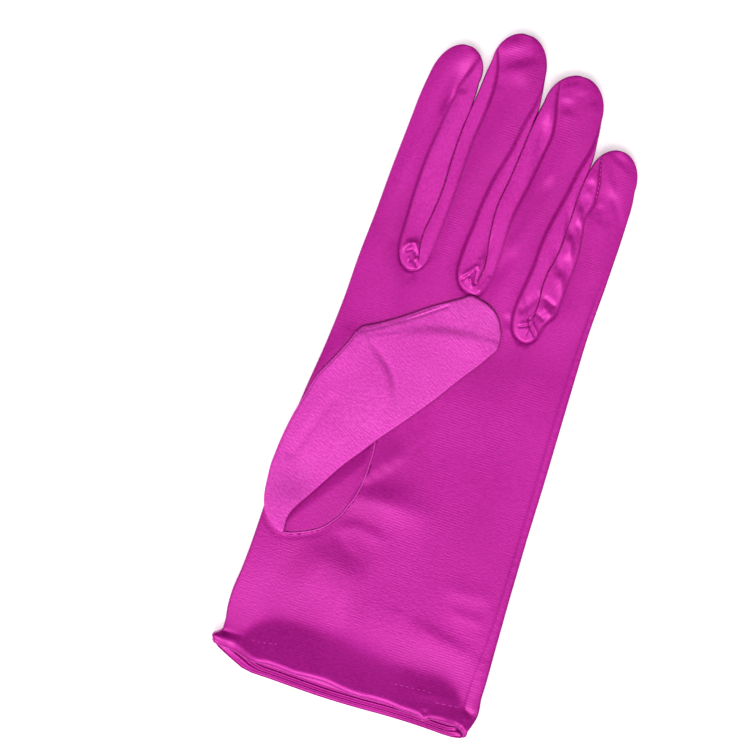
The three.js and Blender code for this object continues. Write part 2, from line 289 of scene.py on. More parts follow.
def round_off(t):
    """A quarter circle: 0 at an edge, 1 where the surface has levelled out."""
    return np.sqrt(np.clip(1 - (1 - np.clip(t, 0, 1)) ** 2, 0, 1))


def distance_to(line, x, y):
    """Distance of points from a polyline, and the nearest place along it in segments."""
    best = np.full(np.shape(x), 1e9)
    place = np.zeros(np.shape(x))
    for k in range(len(line) - 1):
        ax, ay = line[k]
        bx, by = line[k + 1]
        length = (bx - ax) ** 2 + (by - ay) ** 2
        t = np.clip(((x - ax) * (bx - ax) + (y - ay) * (by - ay)) / max(length, 1e-12), 0, 1)
        away = np.hypot(x - ax - t * (bx - ax), y - ay - t * (by - ay))
        nearer = away < best
        best = np.where(nearer, away, best)
        place = np.where(nearer, k + t, place)
    return best, place


def beside(points, x, y):
    """Distance from a polyline, negative on its right side, and the share along its length."""
    line = np.array(points)
    away, place = distance_to(line, x, y)
    k = np.clip(place.astype(int), 0, len(line) - 2)
    way = line[k + 1] - line[k]
    side = way[..., 0] * (y - line[k][..., 1]) - way[..., 1] * (x - line[k][..., 0])
    return np.where(side > 0, away, -away), place / (len(line) - 1)


# Height of the palm side along the glove: lowest at the roots of the fingers
LEVEL = curve((35, 8.2), (60, 7.97), (105, 7.15), (150, 6.6), (185, 7.2), (225, 8))

# Free sides of the glove as it lies, on the index finger's and on the little finger's side.
# Rows are (y, x).
PALM_LEFT = curve(
    (4, -43.4), (7.2, -45.4), (8.4, -46.3), (9.3, -46.1), (10.3, -44.8), (11.2, -43.8), (13, -43.6),
    (19.4, -44.4), (24, -44.6), (33, -43.9), (53, -43.5), (73, -44), (93, -43), (113, -41.1),
    (128, -40.2), (143, -40), (158, -39.3), (173, -38.9), (193, -38), (200, -37.7), (206, -37.1),
    (210, -36.6)
)
PALM_RIGHT = curve(
    (2.5, 44.1), (5, 44.6), (7, 45.3), (10, 46.1), (13, 46), (16, 45.5), (20, 45.4), (25, 45.2),
    (30, 44.9), (40, 44.4), (50, 43.9), (60, 43.5), (70, 43.1), (90, 42.6), (110, 41.9),
    (130, 41.2), (140, 40.9), (160, 41.2), (180, 41.2), (188, 40.9), (192, 40.3)
)
# Lines in plan where two fingers touch, from the bottom of their gap. Rows are (y, x).
VALLEYS = [
    curve((148.4, -20.7), (152, -21.5), (158, -21.8), (163, -21.2), (173, -20.4), (183, -20.7),
          (193, -20.6), (203, -19.9)),
    curve((147.6, 0.3), (153, 0.9), (158.3, 0.1), (163, -0.7), (173, -1.5), (183, -0.4),
          (193, 0.4), (203, 1.1)),
    curve((143, 21.6), (148, 21.6), (153, 21.1), (158, 21.4), (163, 22.4), (173, 22.9),
          (183, 22.9), (190, 23.2), (195.5, 23.8)),
]


def valley_edge(number, side, *free):
    """A finger's edge: beside a valley first, then the free rows above it."""
    y, x = VALLEYS[number]
    rows = np.array(free, float).reshape(-1, 2)
    return np.concatenate([y, rows[:, 0]]), np.concatenate([x + side * VALLEY_HALF, rows[:, 1]])


# Fingers: the tip's x and y, the y from which it closes in, and the left and right edges
FINGERS = [
    {"tip": (-27.4, 220.8), "shoulder": 210, "left": PALM_LEFT,
     "right": valley_edge(0, -1, (207, -19.9), (210, -20.1))},
    {"tip": (-9.7, 230.4), "shoulder": 219,
     "left": valley_edge(0, 1, (208, -19.5), (213, -19.2), (219, -18.6)),
     "right": valley_edge(1, -1, (207, 1.5), (212, 1.1), (219, 0.1))},
    {"tip": (12.2, 223), "shoulder": 211,
     "left": valley_edge(1, 1, (207, 1.5), (211, 2.2)),
     "right": valley_edge(2, -1, (199, 23.8), (203, 23.4), (207, 23), (211, 22.4))},
    {"tip": (31.9, 203.6), "shoulder": 193,
     "left": valley_edge(2, 1), "right": PALM_RIGHT},
]

# Seams of the strips between the fingers: the point where they part, the height where each runs
# out at a finger's edge, and rows of (y, x, depth of its groove) between
GUSSETS = [
    {"name": "gusset_index_middle", "bottom": (-22.4, 143.6), "ends": (218.2, 223.2),
     "left": [(147.4, -27.1, 0.35), (152, -28.3, 0.3), (158, -28.5, 0.3), (173, -28.9, 0.3),
              (183, -28.6, 0.32), (193, -27.6, 0.25), (203, -26.6, 0.12), (208, -25.6, 0.15),
              (213, -24, 0.3)],
     "right": [(148, -18, 0.1), (153, -17.2, 0.08), (158, -16.8, 0.1), (173, -16.1, 0.14),
               (193, -15.8, 0.2), (203, -15, 0.3), (208, -14.8, 0.4), (213, -15.1, 0.42),
               (219, -16.4, 0.35)]},
    {"name": "gusset_middle_ring", "bottom": (0.4, 142.3), "ends": (215.6, 219.6),
     "left": [(144.4, -5, 0.42), (146.8, -6.5, 0.42), (150, -7.3, 0.45), (154.3, -7.5, 0.45),
              (160, -7.3, 0.45), (164, -6.9, 0.4), (173, -6.4, 0.36), (183, -5, 0.34),
              (193, -2.7, 0.34), (203, -1.3, 0.3), (211, 0.3, 0.25)],
     "right": [(147, 3.7, 0.1), (153, 4.7, 0.08), (163, 4.6, 0.1), (173, 4.7, 0.25),
               (183, 6.2, 0.32), (193, 7.3, 0.38), (203, 8.2, 0.42), (208, 7.4, 0.42),
               (214, 6, 0.35)]},
    {"name": "gusset_ring_little", "bottom": (21.2, 132.9), "ends": (209, 200.6),
     "left": [(134.6, 17.1, 0.4), (138.3, 15.4, 0.42), (142.3, 14.9, 0.42), (147, 15.1, 0.45),
              (153, 15.8, 0.42), (160, 16.4, 0.4), (165, 16.4, 0.4), (174, 17.3, 0.42),
              (184, 19.2, 0.42), (193, 20.5, 0.42), (203, 22.6, 0.35)],
     "right": [(135, 24.3, 0.35), (138, 25.2, 0.28), (141, 25.9, 0.26), (144.6, 28, 0.24),
               (149.6, 28.6, 0.22), (158, 29, 0.16), (167, 29.2, 0.14), (173, 28.3, 0.22),
               (179, 27.6, 0.14), (185.3, 28.8, 0.35), (187.4, 28.6, 0.4), (191.6, 28, 0.4),
               (197.2, 26.6, 0.35)]},
]

# Seam between palm and thumb: from the thumb's root up the oval's right side, then hidden under
# the folded thumb and back down the left side
ROOT_SEAM = [
    (-34.3, 48.2), (-31.9, 48.7), (-29.6, 49.7), (-26.6, 51.1), (-24.1, 52.6), (-22, 54.3),
    (-20.2, 56.6), (-18.1, 59.7), (-17, 62.7), (-15.8, 65.7), (-14.9, 69.5), (-14.4, 74.5),
    (-14.4, 78.4), (-14.6, 83.6), (-15.6, 89), (-17.6, 95.5), (-20.6, 102.5), (-25, 108.5),
    (-29, 110.5)
]
ROOT_HIDDEN = [
    (-29, 110.5), (-32, 109.5), (-35, 105), (-37.6, 98), (-38.9, 91), (-39.6, 82), (-40, 71),
    (-40, 61), (-39.2, 54), (-37.6, 50.4), (-35.8, 48.6), (-34.3, 48.2)
]

# Folded thumb along its own axis: rows (place along the axis, distance across it)
THUMB_START = (-35.5, 49)
THUMB_LEAN = math.radians(29.14)
THUMB_LEFT = curve(
    (-1.2, -0.8), (-1.1, -3.6), (-0.4, -6.3), (0.9, -8.8), (2.7, -11.1), (5.2, -13.3), (8.3, -15.5),
    (12.2, -18.1), (15.8, -19.9), (19.8, -21.8), (23.1, -23.2), (29, -25.4), (33.6, -26.8),
    (37.7, -27.9), (40.9, -28.9), (43.7, -29.5), (49.6, -29.9), (55.6, -30.3), (60.7, -31),
    (63.2, -31.6), (64.7, -31.6), (66.6, -30.6), (69.5, -28.9), (72.5, -27.3), (76.3, -25.4),
    (80.4, -23.6), (86.4, -21), (92.1, -18.1), (95.9, -16.1), (98.9, -14.3), (99.9, -11.9),
    (100.7, -9.1), (100.9, -7)
)
THUMB_RIGHT = curve(
    (-1.2, -0.8), (-1, 0.4), (-0.5, 1.2), (0.4, 1.2), (2, 0.1), (3.5, -0.9), (5.1, -1.6), (7, -2),
    (9.6, -2.1), (14, -2), (20, -1.9), (29, -1.7), (36.6, -0.9), (43.4, -0.2), (55.9, 1.6),
    (67.7, 2.9), (76.9, 3.5), (86.1, 4.4), (89.5, 4.5), (92.8, 4.5), (94.4, 3.7), (95.8, 2.7),
    (97.4, 1.4), (98.6, -0.3), (100.1, -2.9), (100.9, -7)
)
# Seam of the ledge along the thumb's left edge: rows (distance across, place along the axis)
THUMB_SEAM = [
    (-30.6, 63.6), (-28.2, 67.7), (-26.2, 71.5), (-24.3, 75.3), (-22.3, 79.1), (-21.2, 81.5),
    (-19.7, 85), (-17.3, 90.5)
]

# Edges of the front and back hem, rows of (x, y)
FRONT_HEM_LINE = curve(
    (-46.4, 8.3), (-45.3, 7.5), (-43.8, 6.9), (-41.5, 6.5), (-39.2, 6.4), (-35.5, 5.7), (-32.6, 5),
    (-29.9, 4.8), (-25.8, 5.4), (-21.4, 5.4), (-17, 5.2), (-12.7, 5.5), (-9, 5.8), (-5.9, 5.9),
    (0, 5.2), (6.7, 5), (10.9, 5.4), (15.2, 5.6), (21, 5.2), (24.9, 5.2), (28.1, 4.7), (28.9, 4.1),
    (29.5, 4.5), (30.6, 5.2), (32.6, 5.6), (36.9, 5.9), (40.4, 5.8), (42.2, 5.1), (43.3, 4.1),
    (44.2, 2.9), (46.4, 9.5)
)
BACK_HEM_LINE = curve(
    (-46.4, 8.1), (-45, 6.4), (-43.8, 5.4), (-42, 4.5), (-39.3, 3.3), (-36.5, 2.1), (-33.9, 1),
    (-31, 0.4), (-25, 0.3), (-15, 0.1), (-5, 0), (0, 0.1), (8, 0.4), (16.7, 0.9), (23.2, 1.1),
    (34, 1.1), (38.5, 1), (41, 1.2), (43.4, 1.9), (44.3, 2.6), (46.4, 9.4)
)
# The plies turned in at the back hem: rows of (distance in from its edge, height)
BACK_PLY = curve(
    (0.35, 1.1), (0.6, 0.72), (0.85, 0.85), (1.65, 1.15), (1.9, 0.75), (2.15, 0.9), (3.2, 1.25),
    (3.45, 0.85), (3.7, 1), (4.6, 1.3), (5.4, 1.4), (6.6, 1.4), (8.5, 1.3), (10.5, 1.1)
)
# Where the palm side starts to rise towards its hem, rows of (x, y)
HEM_TROUGH = curve(
    (-46.4, 11.2), (-42.4, 11.2), (-38.5, 11.4), (-36, 12.4), (-34, 15), (-31.2, 18), (-27.5, 19.8),
    (-23.3, 20.6), (-18.3, 20.9), (-13.1, 20.9), (-8.6, 20.7), (-3.8, 20.1), (0.5, 19.3),
    (5.3, 18.7), (10, 18.3), (15.9, 18.1), (21.7, 18.5), (27.6, 18.8), (32.8, 18.2), (36.3, 16.3),
    (38.9, 13.3), (40.2, 12.3), (41.5, 11.4), (43, 10.4), (46.4, 9.5)
)
# The crease above the hem's rolled left end
HORN_CREASE = [
    (-46.5, 10.6), (-44.8, 10.5), (-42.4, 11), (-39.8, 11.1), (-37.2, 11.1), (-34.2, 11.4)
]
# Seam beside the little finger's side, rows of (y, x), and stitches above the hem, of (x, y)
SIDE_SEAM = curve(
    (4, 41.6), (11, 41.3), (19, 40.9), (25, 41), (33, 41.6), (50, 41.6), (69, 41.1), (89, 40.4),
    (108, 39.7), (127, 39.3), (143, 39.3), (160, 39.6), (188, 39.6)
)
HEM_STITCHES = curve(
    (-33, 11.3), (-30.8, 11.4), (-28.3, 11.8), (-25.5, 12.4), (-14, 12.8), (0, 12.2), (12.1, 12.2),
    (17.7, 12.6), (22.6, 13.1), (28.7, 13.5), (30.5, 13.4)
)

# Folds: from x, y, to x, y, half width on the left and on the right of that way, lift
PALM_FOLDS = [
    (25, 12, 39, 13.2, 1.6, 1.4, 0.12),
    (41.4, 11.4, 45.9, 9.8, 1, 0.8, -0.35),
    (28.8, 4, 28.6, 6.6, 0.5, 0.5, -0.5),
    (-42.5, 99, -34.5, 116, 3.4, 4, 0.3),
]
# Bent folds: the line, half width on its left and right, lift, the shares of its length over
# which it grows and fades
CREASES = [
    ([(-16.5, 72.8), (-13, 75.8), (-8, 82.6), (-4, 88.4)], 9, 2.4, 0.32, 0, 0.4),
    ([(-15.6, 67.8), (-9, 68.4), (-1.9, 68.4), (8, 68.4), (16, 69.2)],
     5, 5.2, 0.48, 0, 0.35),
    ([(-17.5, 55.8), (-12, 57.9), (-6.5, 57.2), (-3, 56.2), (1, 55)],
     1.5, 2.6, 0.15, 0.1, 0.55),
    ([(-19.5, 52.8), (-15, 52), (-11.5, 48.6), (-8, 45.3)], 1.3, 2.5, -0.08, 0.1, 0.6),
    ([(-29, 45.6), (-19, 42.6), (-11, 41), (-1, 39.8)], 6, 14, 0.5, 0.35, 0.7),
    ([(20, 47.5), (30, 47.9), (39, 48.9)], 3.5, 2.2, 0.12, 0.3, 0.8),
    ([(25, 41.4), (32, 40.6), (39, 40.6)], 1.3, 2.2, 0.1, 0.3, 0.8),
    ([(10, 31), (22, 30.6), (30, 30), (38, 29)], 2.8, 6, 0.08, 0.4, 0.88),
    ([(-43.2, 53.4), (-41.8, 51), (-39.6, 48.9), (-37, 47.5), (-34.2, 47.4), (-31.7, 47.9),
      (-29.2, 49), (-26.2, 50.3), (-23.6, 51.8), (-21.5, 53.6), (-19.7, 56)],
     0.5, 0.6, -0.18, 0, 0.7),
]
# Low steps in the palm: the line, the drop to its left and the half width
STEPS = [
    ([(-17.5, 70), (-10, 71), (-5, 73), (0, 76.4), (5, 82)], 0.06, 2.6),
    ([(-16.5, 70), (-13, 73.4), (-8, 80.2), (-4, 86)], -0.12, 1.7),
    ([(14, 34.8), (22, 33.8), (30, 32), (37, 30)], 0.14, 1.5),
]
# Soft facets: middle x, y, half size across and along the way of their slope, the way's lean to
# the right in degrees, and the slope
FACETS = [
    (-25.8, 213, 3.2, 7, 10, 0.13),
    (-27.2, 203.8, 0.9, 4, 12, 0.11),
    (-24.5, 205.4, 1.5, 1.4, 0, -0.16),
    (-28.8, 198, 0.9, 3.4, 15, -0.11),
    (-9.4, 219.8, 5.2, 2.3, -31, -0.24),
    (-12.5, 223.8, 4.5, 1.5, -31, 0.09),
    (-13.6, 226.8, 1.8, 1.2, -31, -0.11),
    (-13.6, 210.1, 1.6, 1.4, 0, -0.08),
    (-7, 214.4, 2.4, 2.4, 0, 0.05),
    (5.2, 204.5, 1.9, 6.5, -5, 0.12),
    (9.4, 213.4, 2.2, 1.3, -10, 0.18),
    (10.6, 209.7, 2.2, 1.4, -10, -0.14),
    (8.8, 218.8, 3.2, 1.3, -25, -0.15),
    (13, 217, 2.6, 1.4, -28, 0.09),
    (18.6, 215, 1.6, 2.2, 0, -0.08),
    (12, 186, 1.5, 4, 5, 0.09),
    (7.5, 159.5, 2, 5, 10, 0.07),
    (-0.3, 155.6, 1, 3, 5, -0.18),
    (-19.8, 144.1, 1, 1.8, 35, 0.11),
    (13.3, 139.5, 1.1, 1.1, 0, 0.2),
    (15, 136.4, 1.2, 1.1, 0, -0.15),
    (24.5, 170.9, 1.2, 2.8, -20, -0.3),
    (25.8, 164.3, 1.6, 2.4, -20, 0.15),
    (24.9, 181, 1, 2.2, -15, -0.22),
    (25.6, 176.3, 1, 2, -25, 0.2),
    (25.7, 185.8, 1.2, 1.8, -10, 0.12),
    (25.3, 158.2, 1.5, 2.8, -25, -0.26),
    (25.4, 190.6, 1.5, 2, 0, 0.17),
    (30.5, 189, 4.5, 5, 0, 0.06),
    (33.6, 188.6, 1.2, 3.2, -32, 0.11),
    (30.7, 183.7, 1.3, 1.2, 0, 0.17),
    (32.9, 178.9, 3.4, 1.8, 0, -0.06),
    (32.8, 199, 5, 1.2, 23, -0.11),
    (31.8, 201.5, 3.5, 1, 15, 0.06),
    (-24.2, 149.6, 2.6, 2.4, 0, 0.14),
    (-3.9, 146.8, 2.2, 2.1, 0, 0.12),
    (20.4, 137.4, 2.4, 2.2, 0, 0.05),
    (30, 13, 8, 4, 0, 0.045),
    (39, 14.5, 2.2, 2.2, 0, 0.05),
    (24, 42, 17, 24, 0, -0.014),
    (-9, 30, 8, 7, 0, -0.015),
    (-7, 66.6, 6, 1.7, -2, 0.05),
    (-13.8, 73, 1.8, 1.5, -15, 0.1),
    (-11.4, 76, 1.8, 1.5, -15, 0.1),
    (-8.9, 79.2, 1.8, 1.5, -15, 0.09),
    (-6.4, 82.4, 1.8, 1.5, -15, 0.06),
    (-31, 190, 2.5, 11, 12, -0.02),
    (-31.2, 152.8, 1.8, 2.6, 0, 0.025),
    (-9.5, 184, 4, 18, 8, 0.012),
]
# Folds of the strips at the bottoms of the gaps, as the palm's folds
GUSSET_FOLDS = [
    (-26.4, 150.6, -25.2, 152.2, 0.9, 0.9, 0.3),
    (-25.2, 152.2, -23.4, 152.9, 1.2, 0.9, 0.35),
    (-23.4, 152.9, -22.2, 151.4, 0.9, 0.7, 0.3),
    (-25.2, 149.9, -23.8, 150.7, 0.7, 0.7, -0.3),
    (-22.2, 149.8, -21.8, 149.2, 0.6, 0.6, -0.4),
    (-21.9, 149.1, -23, 146.9, 0.35, 0.5, -0.3),
    (-22.3, 149.5, -23.6, 147.2, 0.4, 0.6, 0.25),
    (-21.5, 146.9, -20.3, 145.6, 0.6, 0.6, -0.25),
    (-1.5, 152.1, -4.8, 147.9, 0.5, 0.7, 0.35),
    (-3.6, 148, -4.9, 146.1, 0.4, 0.6, -0.25),
    (-1.5, 150, -2.3, 147.3, 0.5, 0.7, 0.3),
    (-2.3, 147.3, -1.3, 145.5, 0.5, 0.6, 0.25),
    (-1.1, 150.6, -0.5, 146.4, 0.5, 0.4, -0.4),
    (-1.6, 154.4, -0.2, 147, 0.4, 0.4, 0.2),
    (3.4, 149.6, 2, 144.9, 0.6, 0.6, 0.2),
    (21, 148.9, 17.3, 143.4, 1.3, 1.6, -0.3),
    (21.1, 138.9, 18.2, 137.6, 0.35, 0.5, -0.3),
    (21.1, 139, 20.3, 140.9, 0.35, 0.5, -0.35),
    (20.3, 140.9, 21.8, 144.6, 0.4, 0.5, -0.3),
    (21.2, 138.8, 23.8, 136.3, 0.5, 0.35, -0.35),
    (18.4, 138.4, 20.6, 139.7, 0.7, 0.5, 0.2),
    (22, 139.6, 24.2, 137.2, 0.7, 0.5, 0.2),
    (24, 145.9, 26.4, 144.6, 1.1, 1.1, 0.25),
    (23.7, 148.9, 26.8, 147.6, 0.9, 0.9, -0.3),
    (22.5, 143.4, 24.6, 142.4, 0.8, 0.8, -0.25),
]
# Relief of the thumb's face in plan: the bend at its tip and the band across it, with their
# steps, a fold and a facet, as in the palm
THUMB_BEND = [
    (-26.4, 116.6), (-22.8, 114), (-19.2, 111.2), (-16.9, 108.6), (-15.1, 105.6), (-14.2, 102),
    (-14.6, 97.5)
]
THUMB_BAND = [
    (-18.5, 123.4), (-11.3, 126.7), (-7.5, 128), (-3.4, 128.8), (0, 129.2), (3.3, 129.8), (8.9, 130)
]
THUMB_STEPS = [(THUMB_BEND, 0.14, 1), (THUMB_BAND, 0.2, 1.1)]
THUMB_FOLDS = [(-40, 74, -33, 95, 1.8, 1.6, -0.12)]
THUMB_FACETS = [(-36, 62, 9, 11, 0, -0.09)]


# Outlines and seams in plan

def finger_edges(finger, y):
    """Left and right edges of a finger at heights y, closing in a round tip."""
    left = smooth(*finger["left"], y)
    right = smooth(*finger["right"], y)
    tip_x, tip_y = finger["tip"]
    shoulder = finger["shoulder"]
    t = np.clip((y - shoulder) / (tip_y - shoulder), 0, 1)
    middle = (left + right) / 2
    centre = middle + (tip_x - middle) * (1 - (1 - t) ** 2)
    half = (right - left) / 2 * np.sqrt(1 - t ** 2)
    return centre - half, centre + half


def seam_rows(gusset, side):
    """A seam's rows with the square root of their rise, so that it starts as a round U."""
    number = GUSSETS.index(gusset)
    bottom_x, bottom_y = gusset["bottom"]
    end_y = gusset["ends"][0 if side == "left" else 1]
    edges = finger_edges(FINGERS[number if side == "left" else number + 1], np.array([end_y]))
    end_x = edges[1 if side == "left" else 0][0]
    start = (bottom_y, bottom_x, BOTTOM_DEPTH)
    rows = np.array([start, *gusset[side], (end_y, end_x, END_DEPTH)])
    return np.sqrt(rows[:, 0] - bottom_y), rows[:, 1], rows[:, 2]


for gusset in GUSSETS:
    for side in ("left", "right"):
        gusset[side + " seam"] = seam_rows(gusset, side)


def seam_at(gusset, side, y):
    """The seam of a strip at heights y."""
    places, x, _ = gusset[side + " seam"]
    return smooth(places, x, np.sqrt(np.clip(y - gusset["bottom"][1], 0, None)))


def seam_line(gusset, side, count):
    """Points of a seam from the bottom of the gap up to its end, and its depth at each."""
    bottom_y = gusset["bottom"][1]
    end_y = gusset["ends"][0 if side == "left" else 1]
    y = bottom_y + (end_y - bottom_y) * np.linspace(0, 1, count) ** 2
    places, _, depths = gusset[side + " seam"]
    depth = np.interp(np.sqrt(y - bottom_y), places, depths)
    return np.stack([seam_at(gusset, side, y), y], 1), depth


def level(y):
    """General height of the palm side."""
    return smooth(*LEVEL, y)


def fold_height(number, side, y):
    """Height of the fold between palm side and back; it lies higher where two fingers touch."""
    gap = number - 1 if side == "left" else number
    if gap < 0 or gap > 2:
        return np.full(np.shape(y), EDGE_Z)
    lift = level(y) - VALLEY_DROP - EDGE_Z
    touching = 1 - PARTED_SHARE * step(*PARTED_SPAN, y - VALLEYS[gap][0][-1])
    return EDGE_Z + lift * touching * (1 - step(*TIP_SPAN, y - FINGERS[number]["tip"][1]))


def outline_of(number):
    """Plan outline of a finger, and the height of its fold at each point."""
    finger = FINGERS[number]
    low_left = 0 if number == 0 else VALLEYS[number - 1][0][0]
    low_right = 0 if number == 3 else VALLEYS[number][0][0]
    tip_y = finger["tip"][1]
    close = tip_y - (tip_y - finger["shoulder"]) * np.linspace(1, 0, 40) ** 2
    left_y = np.concatenate([np.arange(low_left, finger["shoulder"], OUTLINE_STEP), close])
    right_y = np.concatenate([np.arange(low_right, finger["shoulder"], OUTLINE_STEP), close])[::-1]
    left_x = finger_edges(finger, left_y)[0]
    right_x = finger_edges(finger, right_y)[1]
    if number > 0:
        left_x[0] = VALLEYS[number - 1][1][0]
    if number < 3:
        right_x[-1] = VALLEYS[number][1][0]
    line = np.concatenate([np.stack([left_x, left_y], 1), np.stack([right_x, right_y], 1)])
    folds = [fold_height(number, "left", left_y), fold_height(number, "right", right_y)]
    return line, np.concatenate(folds)


OUTLINES = [outline_of(number) for number in range(4)]
SEAMS = [seam_line(gusset, side, 90) for gusset in GUSSETS for side in ("left", "right")]
OVAL = np.concatenate([flowing(ROOT_SEAM, 150), flowing(ROOT_HIDDEN, 90)[1:]])


# Heights

def raised(folds, x, y):
    """Sum of soft ridges and dents, each along its own short line."""
    lift = np.zeros(np.shape(x))
    for ax, ay, bx, by, left, right, height in folds:
        length = math.hypot(bx - ax, by - ay)
        ux, uy = (bx - ax) / length, (by - ay) / length
        ahead = (x - ax) * ux + (y - ay) * uy
        aside = (y - ay) * ux - (x - ax) * uy
        past = np.maximum(np.maximum(-ahead, ahead - length), 0)
        lift += height * bell(aside, np.where(aside > 0, left, right)) * bell(past, (left + right) / 2)
    return lift


def creased(creases, x, y):
    """Sum of ridges and dents along bent lines that grow at their start and fade at their end."""
    lift = np.zeros(np.shape(x))
    for points, left, right, height, grown, fading in creases:
        aside, share = beside(points, x, y)
        fade = step(-0.01, grown, share) * (1 - step(fading, 1.01, share))
        lift += height * fade * bell(aside, np.where(aside > 0, left, right))
    return lift


def stepped(steps, x, y):
    """Sum of low steps along bent lines: the cloth lies deeper on each line's left side."""
    lift = np.zeros(np.shape(x))
    for points, drop, width in steps:
        aside, share = beside(points, x, y)
        fade = bell(aside, STEP_REACH) * half_wave(share, 0.08, 0.92)
        lift -= drop * np.tanh(aside / width) * fade
    return lift


def tilted(facets, x, y):
    """Sum of soft facets: each rises or falls along its own way and levels out past its ends."""
    lift = np.zeros(np.shape(x))
    for middle_x, middle_y, half_across, half_along, lean, tilt in facets:
        turn = math.radians(lean)
        u = (x - middle_x) * math.cos(turn) - (y - middle_y) * math.sin(turn)
        v = (x - middle_x) * math.sin(turn) + (y - middle_y) * math.cos(turn)
        rise = v / (1 + (v / half_along) ** 2) * bell(v, 3 * half_along)
        lift += tilt * rise * bell(u, half_across)
    return lift


def ripple(x, y, height, scale, turn):
    """A slow uneven swell, a sum of a few waves that cross at odd angles."""
    waves = 5
    golden_angle = 2.39996
    growth = 0.37
    shift = 1.7
    total = np.zeros(np.shape(x))
    for k in range(waves):
        angle = turn + golden_angle * k
        across = x * math.cos(angle) + y * math.sin(angle)
        total += np.sin(across * 2 * math.pi / (scale * (1 + growth * k)) + shift * k)
    return height * (total / waves)


def hem_wave(x, y):
    """The palm side sinks a little above the hem, then rises to it."""
    below = smooth(*HEM_TROUGH, x) - y
    left = 1 - step(*LEFT_SINK_SPAN, x)
    reach = SINK_REACH + LEFT_SINK_REACH * left
    sink = groove(np.clip(below, None, 0), SINK_DEPTH + LEFT_SINK_DEPTH * left, reach)
    softness = HEM_SOFTNESS + mound(x, *MIDDLE_SOFTNESS)
    rise = HEM_SLOPE * (below + np.sqrt(below ** 2 + softness)) / 2
    width = HEM_LIP + mound(x, *LEFT_LIP)
    lip = -LIP_DROP * width * np.clip(1 - (y - smooth(*FRONT_HEM_LINE, x)) / width, 0, 1) ** 2
    horn = mound(x, *HORN) * step(*HORN_SPAN, below)
    away, place = distance_to(HORN_CREASE, x, y)
    crease = groove(away, *HORN_GROOVE) * (1 - place / (len(HORN_CREASE) - 1))
    return sink + rise + lip + horn + crease


def column_line(number, y):
    """Where the columns of two neighbouring fingers meet in the palm, below their gap."""
    even = COLUMN_WIDTH * (number - 1)
    return even + (GUSSETS[number]["bottom"][0] - even) * step(*COLUMN_SPAN, y)


def crown_limits(number, y):
    """The sides of a finger's own panel, for the arch across it: its seams or its free edges."""
    left, right = finger_edges(FINGERS[number], y)
    share = step(*PANEL_SPAN, y)
    high_y = np.maximum(y, PANEL_START)
    if number > 0:
        seam = np.maximum(seam_at(GUSSETS[number - 1], "right", high_y), left)
        left = column_line(number - 1, y) * (1 - share) + seam * share
    if number < 3:
        seam = np.minimum(seam_at(GUSSETS[number], "left", high_y), right)
        right = column_line(number, y) * (1 - share) + seam * share
    return left, right


def envelope(number, x, y):
    """Height of the palm side over the table before its rims, seams and folds."""
    left, right = crown_limits(number, y)
    across = np.clip((x - (left + right) / 2) / np.maximum((right - left) / 2, 0.5), -1, 1)
    crown = FINGER_CROWN * (1 - across ** 2)
    from_left = np.clip(x - smooth(*PALM_LEFT, y), 0, None)
    from_right = np.clip(smooth(*PALM_RIGHT, y) - x, 0, None)
    fall = FALL_LEFT * np.exp(-from_left / FALL_REACH) + FALL_RIGHT * np.exp(-from_right / FALL_REACH)
    palm = hem_wave(x, y) - fall
    return level(y) + palm + (crown - palm) * step(*CROWN_SPAN, y)


def palm_side(number, x, y, more=0.0):
    """Height of the palm side of the glove at plan points that belong to one finger's column."""
    outline, folds = OUTLINES[number]
    away, place = distance_to(outline, x, y)
    rim = round_off(away / RIM)
    fold = along(folds, place)
    top = envelope(number, x, y) + ripple(x, y, *PALM_SWELL) + more
    top = top + raised(PALM_FOLDS, x, y) + creased(CREASES, x, y)
    top = top + tilted(FACETS, x, y) + stepped(STEPS, x, y)
    sewn = np.zeros(np.shape(x))
    for line, depths in SEAMS[max(0, 2 * number - 2):2 * number + 2]:
        away, place = distance_to(line, x, y)
        sewn = np.minimum(sewn, groove(away, along(depths, place), SEAM_GROOVE))
    return fold + (top - fold) * rim + sewn * rim


def palm_height(x, y):
    """Height of the palm below the fingers."""
    return palm_side(0, x, y)


def side_seam_relief(x, y):
    """The side seam's groove with small puckers beside it, fading out below the little finger."""
    aside = x - np.minimum(smooth(*SIDE_SEAM, y), smooth(*PALM_RIGHT, y) - SIDE_SEAM_INSET)
    uneven = np.sin(y * PUCKER_PACE + 1.5 * np.sin(y * PUCKER_DRIFT))
    relief = groove(aside, *SIDE_SEAM_GROOVE) + uneven * mound(aside, *PUCKER)
    return relief * (1 - step(*SIDE_SEAM_FADE, y))


def back_side(number, x, y):
    """Height of the side that lies on the table: flat, rounded up to the edges."""
    outline, folds = OUTLINES[number]
    away, place = distance_to(outline, x, y)
    return BACK_Z + (along(folds, place) - BACK_Z) * (1 - round_off(away / BACK_ROUND))


# Meshes

